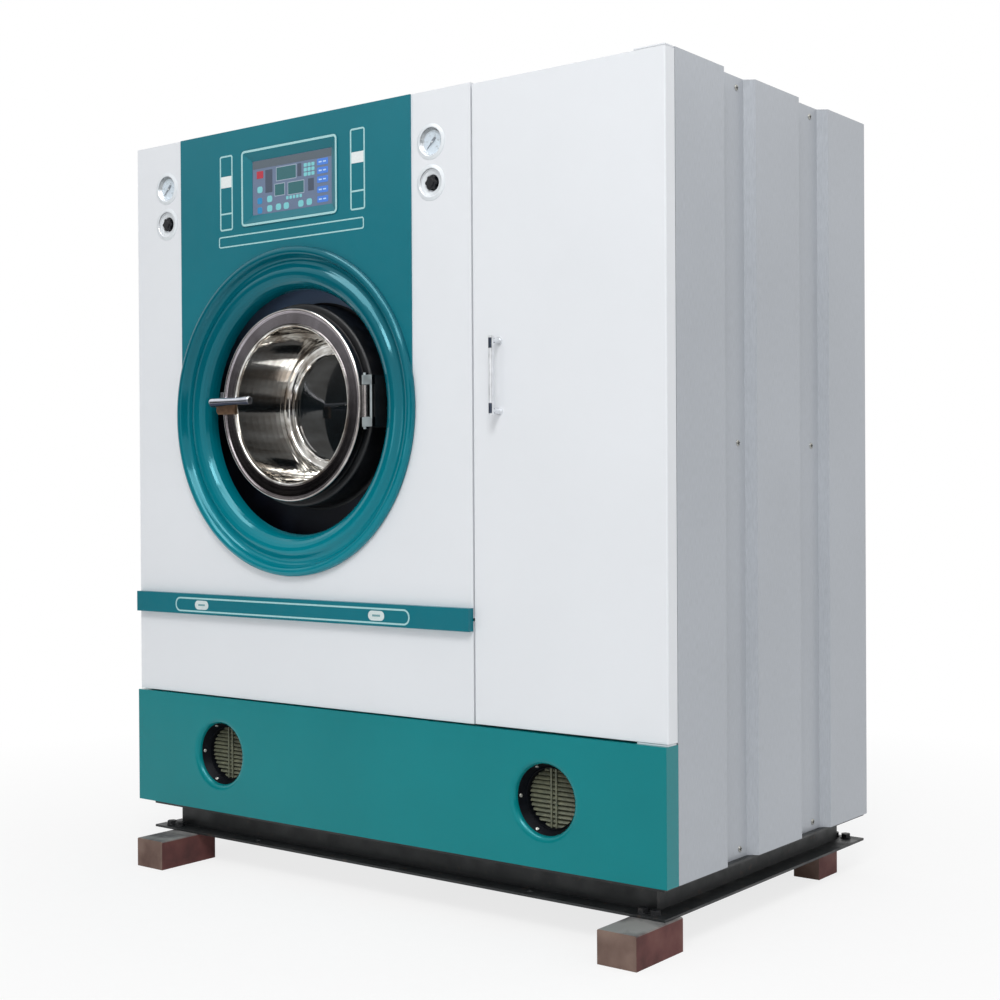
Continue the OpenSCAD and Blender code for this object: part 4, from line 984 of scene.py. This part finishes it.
def gauge_dial(side, cx):
    """A white dial with its marks and even numbers from 0 to 10."""
    bm = bmesh.new()
    disc(bm, cx, GAUGE_Z, DIAL_R, DIAL_Y, 0.2)
    make(side + "_dial", bm, dial_white)
    bm = bmesh.new()
    for i in range(TICKS + 1):
        long = i % TICKS_LONG == 0
        tick(bm, cx, GAUGE_Z, DIAL_START + SWEEP * i / TICKS,
             (0.81 if long else 0.88) * DIAL_R, 0.95 * DIAL_R, 0.7 if long else 0.35)
    make(side + "_dial_marks", bm, dial_ink)
    for i in range(NUMBERS):
        a = math.radians(-90 - DIAL_START - SWEEP * i / (NUMBERS - 1))
        r = 0.63 * DIAL_R
        numeral(str(2 * i), cx + r * math.cos(a), GAUGE_Z + r * math.sin(a), 5.2,
                f"{side}_dial_number_{i}")


# ---------------------------------------------------------------- screw heads

SCREW_Z = (18, 838, 1553)
SCREW_Y = (311, 634)
SIDE_IN = 20
VENT_SCREWS = (0, 114, 180, 246)
VENT_SCREW_R = 68
VENT_SCREW_Y = 18.5


def cross_head(bm, place, out, r, high=2.4):
    """A domed screw head with a cross recess, facing along out."""
    steps = 24
    turn = out.to_track_quat("Z", "Y").to_matrix()
    rings = []
    for radius, height in ((r, 0), (r, high * 0.45), (r * 0.86, high * 0.8),
                           (r * 0.6, high * 0.98), (r * 0.3, high)):
        ring = []
        for i in range(steps):
            a = math.tau * i / steps
            lobe = abs(math.cos(2 * a)) ** 6
            sink = 0.9 * lobe if radius < r * 0.7 else 0
            local = Vector((radius * math.cos(a), radius * math.sin(a), height - sink))
            ring.append(bm.verts.new(place + turn @ local * MM))
        rings.append(ring)
    for low, top in zip(rings, rings[1:]):
        for i in range(steps):
            j = (i + 1) % steps
            bm.faces.new((low[i], low[j], top[j], top[i]))
    bm.faces.new(rings[-1])


def painted_shade_cross(bm, place, out, reach, high):
    """A flat dark cross laid on a screw head: painted shade for its cross recess."""
    turn = out.to_track_quat("Z", "Y").to_matrix() @ Matrix.Rotation(math.radians(20), 3, "Z")
    wide = reach * 0.28
    for arm in range(2):
        corners = [(-reach, -wide), (reach, -wide), (reach, wide), (-reach, wide)]
        if arm:
            corners = [(-b, a) for a, b in corners]
        bm.faces.new([bm.verts.new(place + turn @ Vector((a, b, high)) * MM)
                      for a, b in corners])


def screw_heads():
    """Small heads round the vents, larger ones along the sides with a dark cross of painted
    shade over their recess.
    """
    bm, shade_crosses = bmesh.new(), bmesh.new()
    for y in SCREW_Y:
        for z in SCREW_Z:
            for x, way in ((SIDE_IN, -1), (CABINET_W - SIDE_IN, 1)):
                out = Vector((way, 0, 0))
                cross_head(bm, at(x, y, z), out, 6.2)
                painted_shade_cross(shade_crosses, at(x, y, z), out, 4.2, 2.5)
    for x in VENT_X:
        for angle in VENT_SCREWS:
            a = math.radians(angle)
            out = Vector((-math.cos(a), -0.5, -math.sin(a))).normalized()
            place = at(x + VENT_SCREW_R * math.cos(a), VENT_SCREW_Y,
                       VENT_Z + VENT_SCREW_R * math.sin(a))
            cross_head(bm, place, out, 3.8, 1.8)
    heads = make("screw_heads", bm, zinc, smooth=True)
    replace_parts(heads, "panel_screws")
    # Painted shade: the dark crosses stand for the shade in the screws' cross recesses.
    make("screw_crosses", shade_crosses, knob_black)


# ---------------------------------------------------------------- light and camera

CAMERA_AT = Vector((2.30608, -2.92982, 0.87846))
YAW, PITCH, ROLL = math.radians(37.654), math.radians(-0.458), math.radians(-0.341)
LENS = 57.16


def camera():
    """Stands where the photograph was taken from, worked out from the cabinet's edges."""
    ahead = Vector((-math.sin(YAW) * math.cos(PITCH), math.cos(YAW) * math.cos(PITCH),
                    math.sin(PITCH)))
    level = Vector((math.cos(YAW), math.sin(YAW), 0))
    rise = level.cross(ahead)
    right = math.cos(ROLL) * level + math.sin(ROLL) * rise
    up = -math.sin(ROLL) * level + math.cos(ROLL) * rise
    data = bpy.data.cameras.new("camera")
    data.lens = LENS
    data.sensor_width = 36
    obj = bpy.data.objects.new("camera", data)
    turn = Matrix((right, up, -ahead)).transposed()
    obj.matrix_world = Matrix.Translation(CAMERA_AT) @ turn.to_4x4()
    bpy.context.scene.collection.objects.link(obj)
    bpy.context.scene.camera = obj


def lamp(name, place, aim, size, watts):
    """A soft rectangular lamp turned towards a place."""
    data = bpy.data.lights.new(name, "AREA")
    data.shape = "RECTANGLE"
    data.size, data.size_y = size
    data.energy = watts
    obj = bpy.data.objects.new(name, data)
    obj.location = place
    obj.rotation_euler = (Vector(aim) - Vector(place)).to_track_quat("-Z", "Y").to_euler()
    bpy.context.scene.collection.objects.link(obj)


def seen_directly(tree):
    """1 where a camera, mirror or glass ray arrives, 0 where light is gathered."""
    path = tree.nodes.new("ShaderNodeLightPath")
    total = path.outputs["Is Camera Ray"]
    for name in ("Is Glossy Ray", "Is Transmission Ray"):
        node = tree.nodes.new("ShaderNodeMath")
        node.operation = "MAXIMUM"
        tree.links.new(total, node.inputs[0])
        tree.links.new(path.outputs[name], node.inputs[1])
        total = node.outputs[0]
    return total


def world_light(level):
    """White where it is seen, and of that level where it lights the scene."""
    world = bpy.data.worlds.new("studio")
    world.use_nodes = True
    bpy.context.scene.world = world
    tree = world.node_tree
    ground = tree.nodes["Background"]
    ground.inputs["Color"].default_value = (1, 1, 1, 1)
    strength = tree.nodes.new("ShaderNodeMapRange")
    strength.inputs["To Min"].default_value = level
    strength.inputs["To Max"].default_value = 1.0
    tree.links.new(seen_directly(tree), strength.inputs["Value"])
    tree.links.new(strength.outputs["Result"], ground.inputs["Strength"])


def plane(name, corners):
    """A four-cornered sheet of the studio, not part of the machine."""
    mesh = bpy.data.meshes.new(name)
    mesh.from_pydata(corners, [], [tuple(range(len(corners)))])
    obj = bpy.data.objects.new(name, mesh)
    bpy.context.scene.collection.objects.link(obj)
    return obj


def glow_sheet(name, corners, foot, head, stops):
    """A sheet beside the camera that only mirrors see, as studios set for metal and gloss.

    The stops are its brightness between the heights of its foot and head.
    """
    sheet = plane(name, corners)
    sheet.visible_camera = False
    sheet.visible_diffuse = False
    sheet.visible_shadow = False
    sheet.visible_transmission = False
    f = Finish(name, (0.02, 0.02, 0.02, 1), 1.0, edge=0)
    glow = f.add("ShaderNodeEmission")
    f.link(f.ramp(f.axis("Z", foot, head), stops), glow.inputs["Color"])
    f.link(glow.outputs[0], f.tree.nodes["Material Output"].inputs["Surface"])
    sheet.data.materials.append(f.mat)


def card(name, left, right, foot, head, stops):
    """An upright card between two places on the floor."""
    glow_sheet(name, [(*left, foot), (*right, foot), (*right, head), (*left, head)],
               foot, head, stops)


def cards():
    """One card on each side of the camera, and a wide one above the machine's front."""
    card("left_card", (-4.6, -2.5), (-0.3, -4.7), -0.1, 2.6,
         [(0.4, 0.015), (0.52, 0.06), (0.66, 0.32), (1.0, 0.5)])
    card("right_card", (3.0, -3.9), (5.2, -1.0), -0.1, 2.4,
         [(0.0, 0.1), (0.4, 0.02), (0.8, 0.04), (1.0, 0.2)])
    glow_sheet("top_card", [(-1.2, -2.6, 3.6), (2.8, -2.6, 3.6), (2.8, -0.7, 3.6),
                            (-1.2, -0.7, 3.6)], 3.5, 3.7, [(0.0, 6.0), (1.0, 6.0)])


FLOOR_R = 12
FLOOR_Z = -0.0005
FADE_FROM = 0.9
FADE_TO = 2.4
NEAR_GLOW = 0.78


def floor():
    """A pale floor that keeps the machine's shadow and fades to white further out."""
    bm = bmesh.new()
    bmesh.ops.create_circle(bm, cap_ends=True, segments=64, radius=FLOOR_R)
    mesh = bpy.data.meshes.new("floor")
    bm.to_mesh(mesh)
    bm.free()
    obj = bpy.data.objects.new("floor", mesh)
    obj.location = (0, 0, FLOOR_Z)
    bpy.context.scene.collection.objects.link(obj)
    f = Finish("floor", (0.86, 0.86, 0.86, 1), 0.9, edge=0)
    length = f.add("ShaderNodeVectorMath", operation="LENGTH")
    f.link(f.place, length.inputs[0])
    f.shader.inputs["Specular IOR Level"].default_value = 0.0
    grain = f.noise(30, 3)
    f.color(f.ramp(grain, [(0.3, 0.88), (0.7, 0.9)]))
    far = f.add("ShaderNodeMapRange")
    far.inputs["From Min"].default_value = FADE_FROM
    far.inputs["From Max"].default_value = FADE_TO
    far.inputs["To Min"].default_value = NEAR_GLOW
    f.link(length.outputs["Value"], far.inputs["Value"])
    white_glow = f.add("ShaderNodeEmission")
    white_glow.inputs["Color"].default_value = (1, 1, 1, 1)
    mixed = f.add("ShaderNodeMixShader")
    f.link(f.math("MULTIPLY", far.outputs["Result"], seen_directly(f.tree)),
           mixed.inputs["Fac"])
    f.link(f.shader.outputs[0], mixed.inputs[1])
    f.link(white_glow.outputs[0], mixed.inputs[2])
    f.link(mixed.outputs[0], f.tree.nodes["Material Output"].inputs["Surface"])
    mesh.materials.append(f.mat)


def studio():
    world_light(0.6)
    lamp("key", (3.0, -4.4, 5.4), (0, 0, 0.9), (2.4, 2.0), 190)
    lamp("fill", (-0.5, -5.2, 0.6), (0, -0.4, 0.5), (2.0, 1.2), 12)
    lamp("back", (1.5, 3.5, 3.5), (0, 0.4, 1.0), (3.0, 1.6), 20)
    cards()
    floor()
    view = bpy.context.scene.view_settings
    view.view_transform = "Standard"


# ---------------------------------------------------------------- build

for node_name, node in nodes.items():
    dress(node_name, node)
fascia_print()
bar_print()
display_rim()
screen_fields()
for side_name, gauge_x in zip(("left", "right"), GAUGE_X):
    gauge_dial(side_name, gauge_x)
sunk_cases()
for vent_name, vent_x in zip(("left_vent_grille", "right_vent_grille"), VENT_X):
    vent(vent_name, vent_x)
screw_heads()
camera()
studio()
